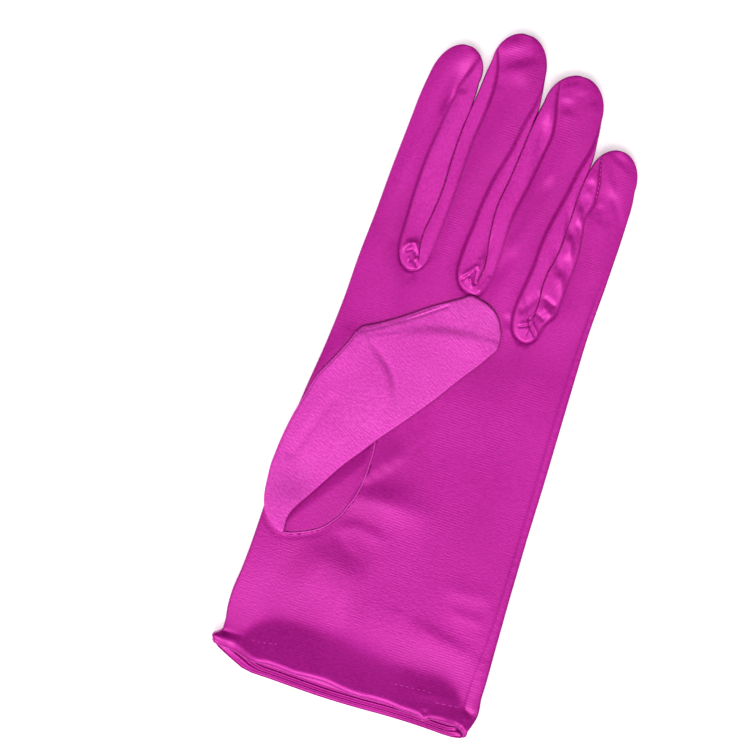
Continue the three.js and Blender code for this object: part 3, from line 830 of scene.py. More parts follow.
class Cloth:
    """Grids of points in millimetres, gathered into one welded mesh."""

    def __init__(self):
        self.points = []
        self.faces = []
        self.count = 0

    def add(self, x, y, z, flip=False, keep=None, ring=False):
        rows, columns = x.shape
        self.points.append(np.stack([x, y, z], -1).reshape(-1, 3))
        index = np.arange(rows * columns).reshape(rows, columns) + self.count
        if ring:
            index = np.concatenate([index, index[:, :1]], 1)
        quads = np.stack([index[:-1, :-1], index[:-1, 1:], index[1:, 1:], index[1:, :-1]], -1)
        if keep is not None:
            quads = quads[keep]
        quads = quads.reshape(-1, 4)
        self.faces.append(quads[:, ::-1] if flip else quads)
        self.count += rows * columns

    def build(self, name, thickness=None):
        """The grids as one object; a sheet of cloth is given its thickness too."""
        points = np.concatenate(self.points)
        faces = np.concatenate(self.faces)
        keys = np.round(points / WELD).astype(np.int64)
        _, first, same = np.unique(keys, axis=0, return_index=True, return_inverse=True)
        same = same.reshape(-1)
        places = points[first]
        places[:, 1] -= LENGTH / 2
        loops = [list(dict.fromkeys(face)) for face in same[faces].tolist()]
        mesh = bpy.data.meshes.new(name)
        loops = [loop for loop in loops if len(loop) > 2]
        mesh.from_pydata((places * MILLIMETRE).tolist(), [], loops)
        mesh.validate()
        mesh.shade_smooth()
        piece = bpy.data.objects.new(name, mesh)
        bpy.context.scene.collection.objects.link(piece)
        if thickness:
            thicken(piece, thickness)
        return piece


def thicken(piece, thickness):
    """Gives a surface its thickness, inwards from the face that shows."""
    solid = piece.modifiers.new("cloth", "SOLIDIFY")
    solid.thickness = thickness * MILLIMETRE
    solid.offset = -1
    with bpy.context.temp_override(object=piece, active_object=piece):
        bpy.ops.object.modifier_apply(modifier="cloth")


def inside(polygon, x, y):
    """Whether plan points lie inside a closed line."""
    within = np.zeros(np.shape(x), bool)
    for (ax, ay), (bx, by) in zip(polygon[:-1], polygon[1:]):
        if ay == by:
            continue
        crosses = (ay > y) != (by > y)
        within ^= crosses & (x < ax + (y - ay) * (bx - ax) / (by - ay))
    return within


def outside_faces(within):
    """The faces of a grid to keep: those with a corner that isn't within."""
    return ~(within[:-1, :-1] & within[:-1, 1:] & within[1:, 1:] & within[1:, :-1])


def cut_hole(x, y, polygon):
    """Moves grid points just inside a hole onto its rim, and marks the faces to keep."""
    within = inside(polygon, x, y)
    keep = outside_faces(within)
    if keep.all():
        return x, y, keep
    _, place = distance_to(polygon, x, y)
    rim_x = along(polygon[:, 0], place)
    rim_y = along(polygon[:, 1], place)
    return np.where(within, rim_x, x), np.where(within, rim_y, y), keep


def add_cord(cloth, line, radius, sides=8):
    """A round cord along points (x, y, z), closed at both ends; the radius may vary."""
    forward = np.gradient(line, axis=0)
    forward /= np.linalg.norm(forward, axis=1)[:, None]
    aside = np.cross(forward, [0.0, 0.0, 1.0])
    aside /= np.maximum(np.linalg.norm(aside, axis=1)[:, None], 1e-9)
    upwards = np.cross(aside, forward)
    turn = np.linspace(0, 2 * math.pi, sides, endpoint=False)[None, :, None]
    reach = np.broadcast_to(radius, len(line))[:, None, None]
    round_line = aside[:, None] * np.cos(turn) + upwards[:, None] * np.sin(turn)
    rings = line[:, None] + reach * round_line
    ends = [np.repeat(line[:1, None], sides, 1), np.repeat(line[-1:, None], sides, 1)]
    rings = np.concatenate([ends[0], rings, ends[1]])
    cloth.add(rings[..., 0], rings[..., 1], rings[..., 2], ring=True)


# Hand

def panel_edges(number, y):
    """Left and right limits of a finger's panel: palm edge, column line, seam or finger edge."""
    left, right = finger_edges(FINGERS[number], y)
    if number > 0:
        gusset = GUSSETS[number - 1]
        left = np.where(y < gusset["ends"][1], seam_at(gusset, "right", y), left)
        left = np.where(y < gusset["bottom"][1], column_line(number - 1, y), left)
    if number < 3:
        gusset = GUSSETS[number]
        right = np.where(y < gusset["ends"][0], seam_at(gusset, "left", y), right)
        right = np.where(y < gusset["bottom"][1], column_line(number, y), right)
    return left, right


def shared_rows():
    """Heights of the rows that all four fingers have in common, up to the highest gap."""
    high, middle, low = (gusset["bottom"][1] for gusset in GUSSETS)
    cuff = FRONT_HEM + (CUFF_TOP - FRONT_HEM) * np.linspace(0, 1, CUFF_ROWS) ** 1.3
    palm = np.linspace(CUFF_TOP, low, PALM_ROWS)
    first = low + (middle - low) * np.linspace(0, 1, GAP_ROWS[0]) ** 1.6
    second = np.linspace(middle, high, GAP_ROWS[1])
    return np.concatenate([cuff[:-1], palm[:-1], first[:-1], second])


SHARED_ROWS = shared_rows()


def finger_rows(number):
    low = GUSSETS[0]["bottom"][1]
    return low + (FINGERS[number]["tip"][1] - low) * eased(FINGER_ROWS, 0.5)


def hem_shift(x, y):
    """Lets the lowest rows follow the wavy front hem."""
    share = 1 - step(*SHIFT_SPAN, y - FRONT_HEM)
    return (smooth(*FRONT_HEM_LINE, x) - FRONT_HEM) * share


def hand_columns(number, rows, places):
    """Plan points of one finger's column from the hem to the tip."""
    y = np.repeat(rows[:, None], len(places), 1)
    left, right = panel_edges(number, y)
    y = y + hem_shift(left + (right - left) * places, y)
    y[-1] = rows[-1]
    left, right = panel_edges(number, y)
    share = np.broadcast_to(places, y.shape)
    if number < 3:
        return left + (right - left) * share, y
    seam_top = SIDE_SEAM[0][-1]
    seam = np.minimum(smooth(*SIDE_SEAM, y), right - SIDE_SEAM_INSET)
    seam_share = (seam - left) / np.maximum(right - left, 1e-6)
    seam_share = np.where(y > seam_top, seam_share[y < seam_top].max(), seam_share)
    before = share / SIDE_SEAM_PLACE
    past = (share - SIDE_SEAM_PLACE) / (1 - SIDE_SEAM_PLACE)
    bent = np.where(before < 1, before * seam_share, seam_share + past * (1 - seam_share))
    return left + (right - left) * bent, y


def set_rims(number, rows, z):
    """The outline of a finger's panel lies at the height of the fold between palm and back."""
    low_left = GUSSETS[number - 1]["ends"][1] if number > 0 else 0
    low_right = GUSSETS[number]["ends"][0] if number < 3 else 0
    for low, side, column in ((low_left, "left", 0), (low_right, "right", -1)):
        free = rows >= low
        z[free, column] = fold_height(number, side, rows[free])
    z[-1, :] = z[-1, 0]


def join_columns(sheets):
    """Neighbouring columns share one height along their common line."""
    for number in range(3):
        below = SHARED_ROWS < GUSSETS[number]["bottom"][1] + 1e-6
        count = int(below.sum())
        middle = (sheets[number][2][:count, -1] + sheets[number + 1][2][:count, 0]) / 2
        for sheet, column in ((sheets[number], -1), (sheets[number + 1], 0)):
            sheet[2][:count, column] = middle
            sheet[0][:count, column] = sheets[number][0][:count, -1]
            sheet[1][:count, column] = sheets[number][1][:count, -1]


def drawn_in(x, y, inset, share):
    """Columns of a hem's ply, moved in from the side folds as the glove narrows above the hem."""
    x = np.repeat(x[:1], len(y), 0)
    hem_left, hem_right = smooth(*PALM_LEFT, DRAWN_FROM), smooth(*PALM_RIGHT, DRAWN_FROM)
    left = np.minimum(smooth(*PALM_LEFT, y), DRAWN_LEFT) + inset
    right = smooth(*PALM_RIGHT, y) - inset
    narrowed = left + (right - left) * (x - hem_left) / (hem_right - hem_left)
    return x + (narrowed - x) * share[:, None]


def inner_rows_first(x, roll_y, roll_z, ply):
    """A hem's grid, from the inner end of its ply out to its roll."""
    roll = (np.repeat(x[:1], len(roll_y), 0), roll_y, roll_z)
    return [np.concatenate(pair)[::-1] for pair in zip(roll, ply)]


def front_hem_grid(number, x, y, z):
    """The hem's roll and the ply that is turned in behind it, below a column's first row."""
    radius = HEM_ROLL + mound(x[0], *HORN_ROLL)
    radius = np.minimum(radius, (z[0] - 1.0) / 2.2)
    turns = np.linspace(ROLL_START, math.pi, 11)
    roll_y = y[0] - radius * (np.sin(turns) - np.sin(ROLL_START))[:, None]
    roll_z = z[0] - radius * (np.cos(ROLL_START) - np.cos(turns))[:, None]
    inwards = np.linspace(0, HEM_PLY, 9)[1:]
    ply_y = y[0] + inwards[:, None]
    ply_x = drawn_in(x, ply_y, FRONT_PLY_INSET, step(0, 1.5, inwards))
    under_palm = palm_side(number, ply_x, ply_y) - 2 * radius
    ply_z = np.maximum(np.minimum(roll_z[-1], under_palm), PLY_LOW)
    return inner_rows_first(x, roll_y, roll_z, (ply_x, ply_y, ply_z))


def back_hem_grid(x, y, z):
    """The back hem turned up and in, with the ridges of its plies, as seen past the front hem."""
    turns = np.linspace(0, math.pi, 9)
    roll_y = y[0] - BACK_ROLL * np.sin(turns)[:, None] + BACK_ROLL * 0.9
    roll_z = z[0] + BACK_ROLL * (1 - np.cos(turns))[:, None]
    inwards = np.linspace(0, BACK_PLY_DEPTH, 60)[1:]
    ply_y = roll_y[-1:] + inwards[:, None]
    ply_x = drawn_in(x, ply_y, BACK_PLY_INSET, step(0, 2, inwards))
    rise = smooth(*BACK_PLY, inwards + BACK_PLY[0][0])[:, None] - BACK_PLY[1][0]
    shown = step(*BACK_PLY_LEFT, x[:1]) * (1 - step(*BACK_PLY_RIGHT, x[:1]))
    ply_z = roll_z[-1:] + rise * shown
    return inner_rows_first(x, roll_y, roll_z, (ply_x, ply_y, ply_z))


def make_hand():
    palms = []
    backs = []
    for number in range(4):
        rows = np.concatenate([SHARED_ROWS[:-1], finger_rows(number)])
        x, y = hand_columns(number, rows, eased(PALM_COLUMNS, 0.7))
        x, y, keep = cut_hole(x, y, OVAL)
        z = palm_side(number, x, y)
        if number == 3:
            z += side_seam_relief(x, y)
        set_rims(number, rows, z)
        palms.append((x, y, z, keep))
        x, y = hand_columns(number, rows, eased(BACK_COLUMNS, 0.5))
        z = back_side(number, x, y)
        set_rims(number, rows, z)
        backs.append((x, y, z))
    join_columns(palms)
    join_columns(backs)
    cloth = Cloth()
    for number, (x, y, z, keep) in enumerate(palms):
        cloth.add(x, y, z, keep=keep)
        cloth.add(*front_hem_grid(number, x, y, z))
    share = np.linspace(0, 1, 9)[:, None]
    for x, y, z in backs:
        cloth.add(x, y, z, flip=True)
        start = smooth(*BACK_HEM_LINE, x[0])
        low_x = np.repeat(x[:1], len(share), 0)
        low_y = start + (y[0] - start) * share
        low_z = BACK_Z + (z[0] - BACK_Z) * share ** 2
        cloth.add(low_x, low_y, low_z, flip=True)
        cloth.add(*back_hem_grid(low_x, low_y, low_z), flip=True)
    return cloth.build("hand_cloth", CLOTH)


# Strips between the fingers

def strip_lines(number, side):
    """A half strip's two sides: its seam and the fold at the finger's edge that it runs to."""
    gusset = GUSSETS[number]
    bottom_y = gusset["bottom"][1]
    valley_y, valley_x = VALLEYS[number][0][0], VALLEYS[number][1][0]
    seam = resample(seam_line(gusset, side, 500)[0], STRIP_STEP)
    if side == "left":
        seam = seam[::-1]
    rise = seam[:, 1] - bottom_y
    goal_y = seam[:, 1] + (valley_y - bottom_y) * np.exp(-rise / STRIP_BEND)
    edges = finger_edges(FINGERS[number if side == "left" else number + 1], goal_y)
    edge_x = edges[1 if side == "left" else 0]
    goal_x = valley_x + (edge_x - valley_x) * step(0, STRIP_OPENING, rise)
    return seam, np.stack([goal_x, goal_y], 1)


def make_gusset(number):
    gusset = GUSSETS[number]
    cloth = Cloth()
    for side, finger, inner in (("left", number, "right"), ("right", number + 1, "left")):
        seam, goal = strip_lines(number, side)
        end = gusset["ends"][0 if side == "left" else 1]
        at_end = seam[:, 1] > end - 1e-3
        for half, count in (("palm", 29), ("back", 9)):
            share = eased(count, 0.5)
            x = between(seam[:, 0], goal[:, 0], share)
            y = between(seam[:, 1], goal[:, 1], share)
            if half == "palm":
                width = np.hypot(*(goal - seam).T)[:, None]
                wide = np.clip(width / STRIP_WIDTH, 0, 1)
                arch = STRIP_ARCH * np.sin(math.pi * share) * wide
                folds = raised(GUSSET_FOLDS, x, y) * np.clip(4 * share * (1 - share), 0, 1) ** 0.4
                z = palm_side(finger, x, y, arch + folds)
            else:
                z = back_side(finger, x, y)
            z[:, -1] = fold_height(finger, inner, y[:, -1])
            z[at_end, :] = fold_height(finger, inner, np.array([end]))
            cloth.add(x, y, z, flip=half == "palm")
    return cloth.build(gusset["name"] + "_cloth", CLOTH)


# Thumb

def from_thumb(across, up):
    """Plan points of the thumb's own axes as points of the glove."""
    x = THUMB_START[0] + across * math.cos(THUMB_LEAN) + up * math.sin(THUMB_LEAN)
    y = THUMB_START[1] - across * math.sin(THUMB_LEAN) + up * math.cos(THUMB_LEAN)
    return x, y


def fold_edge(y):
    """Where the thumb's folded edge runs over the palm, as a straight line."""
    return -29.6 + 0.706 * (y - 65.4)


def thumb_rows(count, pull):
    """Places along the thumb's axis with its left and right sides there."""
    low, high = THUMB_LEFT[0][0], THUMB_LEFT[0][-1]
    up = low + (high - low) * eased(count, pull)
    return up, smooth_round(*THUMB_LEFT, up), smooth_round(*THUMB_RIGHT, up)


def thumb_outline():
    """The thumb's outline along its own axes, with the rim's radius at each point."""
    up, left, right = thumb_rows(260, 1.0)
    line = np.concatenate([np.stack([left, up], 1), np.stack([right, up], 1)[::-1]])
    narrow = NARROW_RIM * step(*NARROW_START, up) * (1 - step(*NARROW_END, up))
    return line, np.concatenate([LEFT_RIM - narrow, np.full(len(up), RIGHT_RIM)])


THUMB_OUTLINE = thumb_outline()


def thumb_edge(across, up):
    """Height of the thumb's folded rim over the table; it stands up at its left corner."""
    _, y = from_thumb(across, up)
    corner = mound(up, *CORNER) * bell(across - CORNER_ACROSS, CORNER_HALF)
    rise = RIM_RISE * step(*RIM_SPAN, up) - TIP_DROP * step(*THUMB_TIP_SPAN, up)
    return level(y) + THUMB_RIM + rise + corner


def thumb_ledge(across, up, away):
    """1 on the narrow seam ledge along the thumb's upper left edge, 0 on its face."""
    length = step(*LEDGE_START, up) * (1 - step(*LEDGE_END, up))
    middle = (smooth_round(*THUMB_LEFT, up) + smooth_round(*THUMB_RIGHT, up)) / 2
    return length * (across < middle) * (1 - step(*LEDGE_WIDTH, away))


def thumb_top(across, up):
    """Height of the upper face of the thumb."""
    outline, rims = THUMB_OUTLINE
    away, place = distance_to(outline, across, up)
    rim = round_off(away / along(rims, place))
    left = smooth_round(*THUMB_LEFT, up)
    right = smooth_round(*THUMB_RIGHT, up)
    share = np.clip((across - left) / np.maximum(right - left, 1), 0, 1)
    edge = thumb_edge(across, up)
    top = edge + THUMB_TOP + THUMB_ARCH * np.sin(math.pi * share ** 0.85) ** 0.8
    x, y = from_thumb(across, up)
    bend, bend_share = beside(THUMB_BEND, x, y)
    top = top + groove(bend, *BEND_GROOVE) * half_wave(bend_share, 0.1, 0.9)
    top = top + stepped(THUMB_STEPS, x, y) + raised(THUMB_FOLDS, x, y)
    top = top + tilted(THUMB_FACETS, x, y) + ripple(x, y, *THUMB_SWELL)
    seam, _ = distance_to(THUMB_SEAM, across, up)
    top = top + groove(seam, *THUMB_SEAM_GROOVE) - LEDGE_DROP * thumb_ledge(across, up, away)
    return edge + (top - edge) * rim


def make_thumb():
    cloth = Cloth()
    rows, left, right = thumb_rows(200, 0.7)
    opening = OVAL + (np.mean(OVAL, 0) - OVAL) * OPENING_INSET
    for face, count in (("upper", 57), ("under", 17)):
        across = between(left, right, eased(count, 0.6))
        up = np.repeat(rows[:, None], count, 1)
        x, y = from_thumb(across, up)
        edge = thumb_edge(across, up)
        keep = None
        if face == "upper":
            z = thumb_top(across, up)
        else:
            away, _ = distance_to(THUMB_OUTLINE[0], across, up)
            floor = level(y) + THUMB_FLOOR
            z = floor + (edge - floor) * (1 - round_off(away / THUMB_BACK_ROUND))
            keep = outside_faces(inside(opening, x, y) & (x < fold_edge(y) - OPENING_MARGIN))
        for rim in ((slice(None), 0), (slice(None), -1), (0, slice(None)), (-1, slice(None))):
            z[rim] = edge[rim]
        cloth.add(x, y, z, flip=face == "under", keep=keep)
    return cloth.build("thumb_cloth", CLOTH)


def piping_line():
    """The seam round the thumb: down its free left side, round its root and up the oval's right."""
    low = THUMB_LEFT[0][0]
    up = low + (PIPING_END - low) * np.linspace(1, 0, 160) ** 2
    across = smooth_round(*THUMB_LEFT, up)
    x, y = from_thumb(across, up)
    left = np.stack([x, y, thumb_edge(across, up) + PIPING_LEFT_RISE], 1)
    right = flowing(ROOT_SEAM[:15], 120)
    right = np.column_stack([right, palm_height(right[:, 0], right[:, 1]) + PIPING_RISE])
    line = evened(resample(np.concatenate([left, right]), PIPING_STEP), 6)
    forward = np.gradient(line[:, :2], axis=0)
    forward /= np.maximum(np.linalg.norm(forward, axis=1)[:, None], 1e-9)
    line[:, :2] += PIPING_INSET * np.stack([-forward[:, 1], forward[:, 0]], 1)
    return line


def make_piping():
    cloth = Cloth()
    add_cord(cloth, piping_line(), PIPING)
    return cloth.build("thumb_seam_roll")


def make_pocket():
    """The thumb's cloth that goes from the oval seam down and in under its folded edge."""
    seam = flowing(ROOT_SEAM[:16], 130)
    seam_x, seam_y = seam.T
    lean = np.array([math.cos(THUMB_LEAN), -math.sin(THUMB_LEAN)])
    reach = POCKET_REACH * half_wave(np.linspace(0, 1, len(seam)), 0.02, 0.86) ** 0.6
    aside = np.clip(seam_x - fold_edge(seam_y), 0, None)
    hidden_x, hidden_y = (seam - lean * (aside * lean[0] + reach)[:, None]).T
    share = eased(41, 0.4)
    x = between(seam_x, hidden_x, share)
    y = between(seam_y, hidden_y, share)
    from_seam = np.hypot(x - seam[:, :1], y - seam[:, 1:])
    start = palm_height(seam_x, seam_y) - POCKET_START
    even = evened(start, POCKET_ROUNDS)
    start = even[:, None] + (start - even)[:, None] * bell(from_seam, POCKET_EVEN)
    past_edge = (fold_edge(y) - x) * lean[0]
    fall = POCKET_FALL * step(*POCKET_EDGE_SPAN, past_edge) * (1 - bell(from_seam, POCKET_ROUND))
    to_thumb = (level(y) + THUMB_FLOOR - POCKET_UNDER - start) * step(*POCKET_RISE_SPAN, share)
    rise = to_thumb + fall * step(*POCKET_FILL_SPAN, share)
    z = start - fall + rise + ripple(x, y, *POCKET_SWELL) * share
    cloth = Cloth()
    cloth.add(x, y, z, flip=True)
    return cloth.build("thumb_pocket_cloth", CLOTH)


def make_root_wall():
    """The cloth that joins the oval's left side to the thumb's free left edge."""
    up = np.linspace(*WALL_SPAN, 80)
    across = smooth_round(*THUMB_LEFT, up) + WALL_OUT
    outer_x, outer_y = from_thumb(across, up)
    hidden = flowing(ROOT_HIDDEN, 200)[::-1]
    inner_x = np.interp(outer_y, hidden[:, 1], hidden[:, 0]) - WALL_IN
    share = np.linspace(0, 1, 13)
    x = between(inner_x, outer_x, share)
    y = np.repeat(outer_y[:, None], len(share), 1)
    low = palm_height(inner_x, outer_y) - WALL_LOW
    high = thumb_edge(across, up) - WALL_HIGH
    cloth = Cloth()
    cloth.add(x, y, between(low, high, share ** 2))
    return cloth.build("thumb_root_cloth", CLOTH)


# Stitches

# A stitch has a length, a gap after it and a radius. The hem's row is sunk between its shown ends.
HEM_STITCH = (1.1, 0.8, 0.16)
HEM_STITCH_SUNK = -0.15
HEM_STITCH_LIFT = 0.18
SHOWN_LEFT_FROM = (-36, -31)
SHOWN_LEFT_TO = (-27, -24)
SHOWN_RIGHT_FROM = (14, 19)
CORNER_STITCH = (1.6, 0.7, 0.16)
CORNER_ROW_X = (31.0, 40.5)
CORNER_ROW_Y = (10.9, 12.04)
FINGER_STITCH = (0.9, 0.7, 0.18)
FINGER_ROW_Y = (186, 199)


def add_stitches(cloth, line, length, gap, radius):
    """A row of short stitches along points (x, y, z)."""
    points = resample(line, STITCH_STEP)
    span = int(length / STITCH_STEP)
    for start in range(0, len(points) - span, span + int(gap / STITCH_STEP)):
        part = points[start:start + span][::2]
        taper = radius * np.sqrt(np.sin(np.linspace(0.15, math.pi - 0.15, len(part))))
        add_cord(cloth, part, taper, 6)


def make_stitches():
    """Rows above the front hem, which sink in between their ends, and one on the little finger."""
    cloth = Cloth()
    x = np.linspace(HEM_STITCHES[0][0], HEM_STITCHES[0][-1], 200)
    y = smooth(*HEM_STITCHES, x)
    shown = step(*SHOWN_LEFT_FROM, x) * (1 - step(*SHOWN_LEFT_TO, x)) + step(*SHOWN_RIGHT_FROM, x)
    height = palm_height(x, y) + HEM_STITCH_SUNK + HEM_STITCH_LIFT * shown
    add_stitches(cloth, np.stack([x, y, height], 1), *HEM_STITCH)
    y = np.linspace(*CORNER_ROW_Y, 40)
    x = np.linspace(*CORNER_ROW_X, 40)
    add_stitches(cloth, np.stack([x, y, palm_height(x, y) + 0.04], 1), *CORNER_STITCH)
    y = np.linspace(*FINGER_ROW_Y, 40)
    x = seam_at(GUSSETS[2], "right", y)
    add_stitches(cloth, np.stack([x, y, palm_side(3, x, y) + 0.1], 1), *FINGER_STITCH)
    return cloth.build("seam_stitches")


# Materials

RIB_SCALE = 370
PATCH_SCALE = 60
GRAIN_SCALE = 1500
BLOTCH_SCALE = 34
RELIEF = 0.0001
DARK_STOP = 0.38
LIGHT_STOP = 0.62
# Places along the glove, in metres from its middle: the smooth band above the hem, and the stretch
# over which the weave changes from the fingers' to the cuff's
SMOOTH_BAND = (-0.102, -0.085)
WEAVE_SPAN = (-0.015, -0.075)
SHEEN = {"Metallic": 0.50, "Specular IOR Level": 0.05, "Coat Roughness": 0.35, "Coat IOR": 1.5}
# Dark, middle and light tone of each cloth, between which it varies at random; the lighter tones of
# the strips, the thumb and the piping are painted light, as said at each
HAND_TONES = ((0.37, 0.002, 0.220), (0.42, 0.004, 0.255), (0.47, 0.008, 0.290))
# Painted sheen: the strips get lighter tones than the hand, for the brighter sheen of satin whose
# grain runs across the hand's
GUSSET_SHEEN_TONES = ((0.43, 0.005, 0.256), (0.48, 0.010, 0.296), (0.53, 0.018, 0.336))
# Painted sheen: the thumb's tones are lighter still, for the brighter sheen of its satin, whose grain
# follows the thumb's lean
THUMB_SHEEN_TONES = ((0.55, 0.028, 0.365), (0.61, 0.042, 0.410), (0.67, 0.060, 0.455))
# Painted highlight: the piping and the stitches get the lightest tones, so their thin cords show as
# bright lines in spite of the shade about them
PIPING_HIGHLIGHT_TONES = ((0.60, 0.045, 0.410), (0.66, 0.060, 0.455), (0.72, 0.080, 0.500))


def add_node(tree, kind, **settings):
    """A new shader node; settings are sockets or values for its inputs, or its own properties."""
    node = tree.nodes.new("ShaderNode" + kind)
    for name, value in settings.items():
        label = name.replace("_", " ")
        if isinstance(value, bpy.types.NodeSocket):
            tree.links.new(value, node.inputs[label])
        elif label in node.inputs:
            node.inputs[label].default_value = value
        else:
            setattr(node, name, value)
    return node


def noise(tree, vector, scale, detail):
    return add_node(tree, "TexNoise", Vector=vector, Scale=scale, Detail=detail).outputs["Fac"]


def ranged(tree, value, low, high, to_low=0.0, to_high=1.0):
    """A value's range from low to high, brought to another range."""
    node = add_node(tree, "MapRange", Value=value, From_Min=low, From_Max=high,
                    To_Min=to_low, To_Max=to_high)
    return node.outputs["Result"]


def combined(tree, operation, first, second):
    """The sum or product of two values."""
    node = add_node(tree, "Math", operation=operation)
    tree.links.new(first, node.inputs[0])
    tree.links.new(second, node.inputs[1])
    return node.outputs["Value"]


def satin(name, tones, grain, ribs, weave, coat=0.35):
    """Stretch satin: fine ribs across the cloth, uneven dye and a coloured sheen.

    Grain is the turn of the cloth's own axes, ribs is the ribs' strength, and weave has the
    strengths of the fine relief at the fingers and at the cuff.
    """
    dark, base, light = tones
    material = bpy.data.materials.new(name)
    material.use_nodes = True
    tree = material.node_tree
    shader = tree.nodes["Principled BSDF"]
    place = add_node(tree, "TexCoord").outputs["Object"]
    turned = add_node(tree, "Mapping", Vector=place, Rotation=(0, 0, grain)).outputs["Vector"]
    squeezed = add_node(tree, "Mapping", Vector=turned, Scale=(0.6, 1.0, 0.6)).outputs["Vector"]
    along_glove = add_node(tree, "SeparateXYZ", Vector=place).outputs["Y"]

    wave = add_node(tree, "TexWave", wave_type="BANDS", bands_direction="Y", Vector=turned,
                    Scale=RIB_SCALE, Distortion=3.5, Detail=2, Detail_Scale=2.0)
    patches = ranged(tree, noise(tree, place, PATCH_SCALE, 2), 0.42, 0.66)
    ribbing = combined(tree, "MULTIPLY", wave.outputs["Fac"], patches)
    grains = noise(tree, squeezed, GRAIN_SCALE, 2)
    tone = combined(tree, "ADD", grains, noise(tree, place, BLOTCH_SCALE, 3))
    colour = add_node(tree, "ValToRGB", Fac=ranged(tree, tone, 0.0, 2.0))
    stops = colour.color_ramp.elements
    stops[0].position = DARK_STOP
    stops[0].color = (*dark, 1)
    stops[1].position = LIGHT_STOP
    stops[1].color = (*light, 1)
    stops.new((DARK_STOP + LIGHT_STOP) / 2).color = (*base, 1)

    coarse = add_node(tree, "Bump", Strength=ribs, Distance=RELIEF, Height=ribbing)
    strength = combined(tree, "MULTIPLY", ranged(tree, along_glove, *SMOOTH_BAND),
                        ranged(tree, along_glove, *WEAVE_SPAN, *weave))
    fine = add_node(tree, "Bump", Distance=RELIEF, Strength=strength, Height=grains,
                    Normal=coarse.outputs["Normal"])
    tree.links.new(colour.outputs["Color"], shader.inputs["Base Color"])
    tree.links.new(ranged(tree, grains, 0, 1, 0.40, 0.56), shader.inputs["Roughness"])
    tree.links.new(fine.outputs["Normal"], shader.inputs["Normal"])
    tree.links.new(fine.outputs["Normal"], shader.inputs["Coat Normal"])
    for label, value in {"Coat Weight": coat, **SHEEN}.items():
        shader.inputs[label].default_value = value
    return material


def dress(piece, node, material):
    piece.data.materials.clear()
    piece.data.materials.append(material)
    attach(piece, "root")
    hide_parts(node)


# Stage

PIXEL = 0.331
PHOTO_WIDTH = 750
PHOTO_LEAN = math.radians(18.5)
VIEW_CENTRE = (-22.2, -7.8)
VIEW_HEIGHT = 7
CAMERA_HEIGHT = 1.5
SENSOR = 36
FLOOR_SIZE = 3.0
FLOOR_TONE = 0.94
FLOOR_GLOW = 0.45
WORLD_FAR = 0.08
WORLD_NEAR = 0.62
WORLD_SPAN = (-0.35, 0.75)
# Rows of name, direction, spread in degrees and energy. A direction is given in the photo's own
# axes: right, up and towards the camera.
LIGHTS = [
    ("key", (-0.15, -0.92, 2.00), 30, 2.02),
    ("fill", (-1.0, -0.1, 1.1), 40, 0.8),
]


def from_photo(right, up):
    """A direction in the photo as one of the glove's."""
    return (right * math.cos(PHOTO_LEAN) - up * math.sin(PHOTO_LEAN),
            right * math.sin(PHOTO_LEAN) + up * math.cos(PHOTO_LEAN))


def make_stage():
    bpy.ops.mesh.primitive_plane_add(size=FLOOR_SIZE, location=(0, 0, 0))
    floor = bpy.context.object
    floor.name = "floor"
    paper = bpy.data.materials.new("pale_floor")
    paper.use_nodes = True
    inputs = paper.node_tree.nodes["Principled BSDF"].inputs
    inputs["Base Color"].default_value = (FLOOR_TONE, FLOOR_TONE, FLOOR_TONE, 1)
    inputs["Roughness"].default_value = 0.8
    inputs["Emission Strength"].default_value = FLOOR_GLOW
    floor.data.materials.append(paper)


def make_light(name, direction, spread, energy):
    """A wide, even light."""
    lamp = bpy.data.lights.new(name, "SUN")
    lamp.angle = math.radians(spread)
    lamp.energy = energy
    light = bpy.data.objects.new(name, lamp)
    light.location = (*from_photo(*direction[:2]), direction[2])
    light.rotation_euler = (-Vector(light.location)).to_track_quat("-Z", "Y").to_euler()
    bpy.context.scene.collection.objects.link(light)


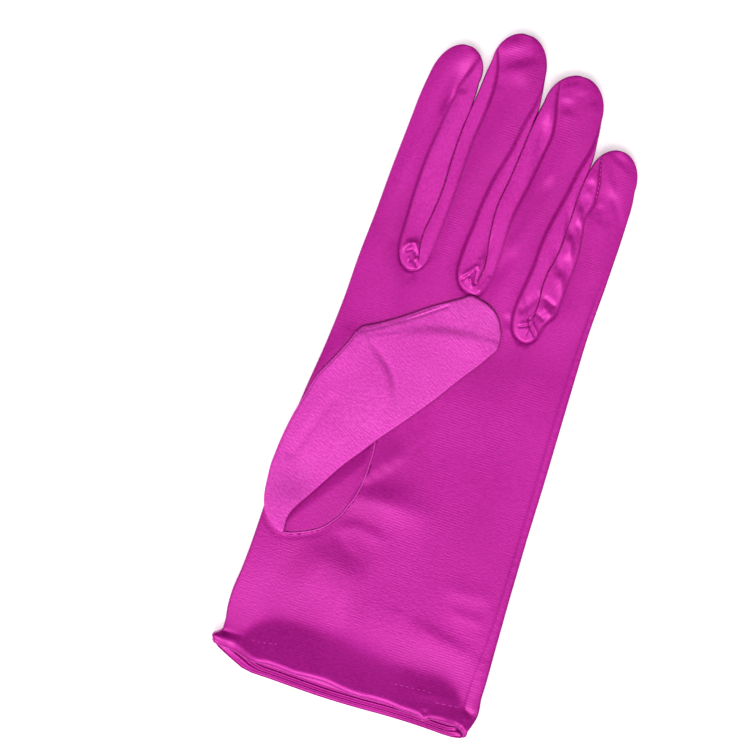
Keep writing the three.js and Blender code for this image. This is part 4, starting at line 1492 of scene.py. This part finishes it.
def make_camera():
    data = bpy.data.cameras.new("camera")
    data.sensor_width = SENSOR
    distance = CAMERA_HEIGHT - VIEW_HEIGHT * MILLIMETRE
    data.lens = SENSOR * distance / (PHOTO_WIDTH * PIXEL * MILLIMETRE)
    camera = bpy.data.objects.new("camera", data)
    camera.location = (VIEW_CENTRE[0] * MILLIMETRE, VIEW_CENTRE[1] * MILLIMETRE, CAMERA_HEIGHT)
    camera.rotation_euler = (0, 0, PHOTO_LEAN)
    bpy.context.scene.collection.objects.link(camera)
    bpy.context.scene.camera = camera


def make_world():
    """A studio that is brighter on the near side of the photo than on its far side."""
    world = bpy.data.worlds.new("studio")
    world.use_nodes = True
    tree = world.node_tree
    place = add_node(tree, "TexCoord")
    near = add_node(tree, "VectorMath", operation="DOT_PRODUCT")
    near.inputs[1].default_value = (*from_photo(0.0, -0.9), 0.3)
    tree.links.new(place.outputs["Generated"], near.inputs[0])
    strength = ranged(tree, near.outputs["Value"], *WORLD_SPAN, WORLD_FAR, WORLD_NEAR)
    tree.links.new(strength, tree.nodes["Background"].inputs["Strength"])
    tree.nodes["Background"].inputs["Color"].default_value = (1, 1, 1, 1)
    bpy.context.scene.world = world
    bpy.context.scene.view_settings.view_transform = "Standard"


make_stage()
make_world()
for light in LIGHTS:
    make_light(*light)
make_camera()

hand_satin = satin("satin_hand", HAND_TONES, 0.0, 0.14, (0.2, 0.55))
gusset_sheen_satin = satin("satin_gusset", GUSSET_SHEEN_TONES, math.pi / 2, 0.06, (0.4, 0.4))
# The thumb and its root wall wear the thumb's lighter tones: painted sheen
thumb_sheen_satin = satin("satin_thumb", THUMB_SHEEN_TONES, THUMB_LEAN, 0.10, (0.65, 0.65))
# Painted shade: the pocket is thumb cloth, but it gets the hand's darker tones for the shade under the
# folded thumb
pocket_shade_satin = satin("satin_pocket_painted_shade", HAND_TONES, THUMB_LEAN, 0.05, (0.4, 0.4))
# Painted highlight: the piping and the stitches are dressed in the lightest tones
piping_highlight_satin = satin("satin_piping_painted_highlight", PIPING_HIGHLIGHT_TONES, 0.0, 0.0, (0.0, 0.0), coat=0.05)

dress(make_hand(), "hand", hand_satin)
for number, gusset in enumerate(GUSSETS):
    dress(make_gusset(number), gusset["name"], gusset_sheen_satin)
dress(make_thumb(), "thumb", thumb_sheen_satin)
dress(make_pocket(), "thumb", pocket_shade_satin)
dress(make_root_wall(), "thumb", thumb_sheen_satin)
dress(make_piping(), "thumb", piping_highlight_satin)
dress(make_stitches(), "hand", piping_highlight_satin)
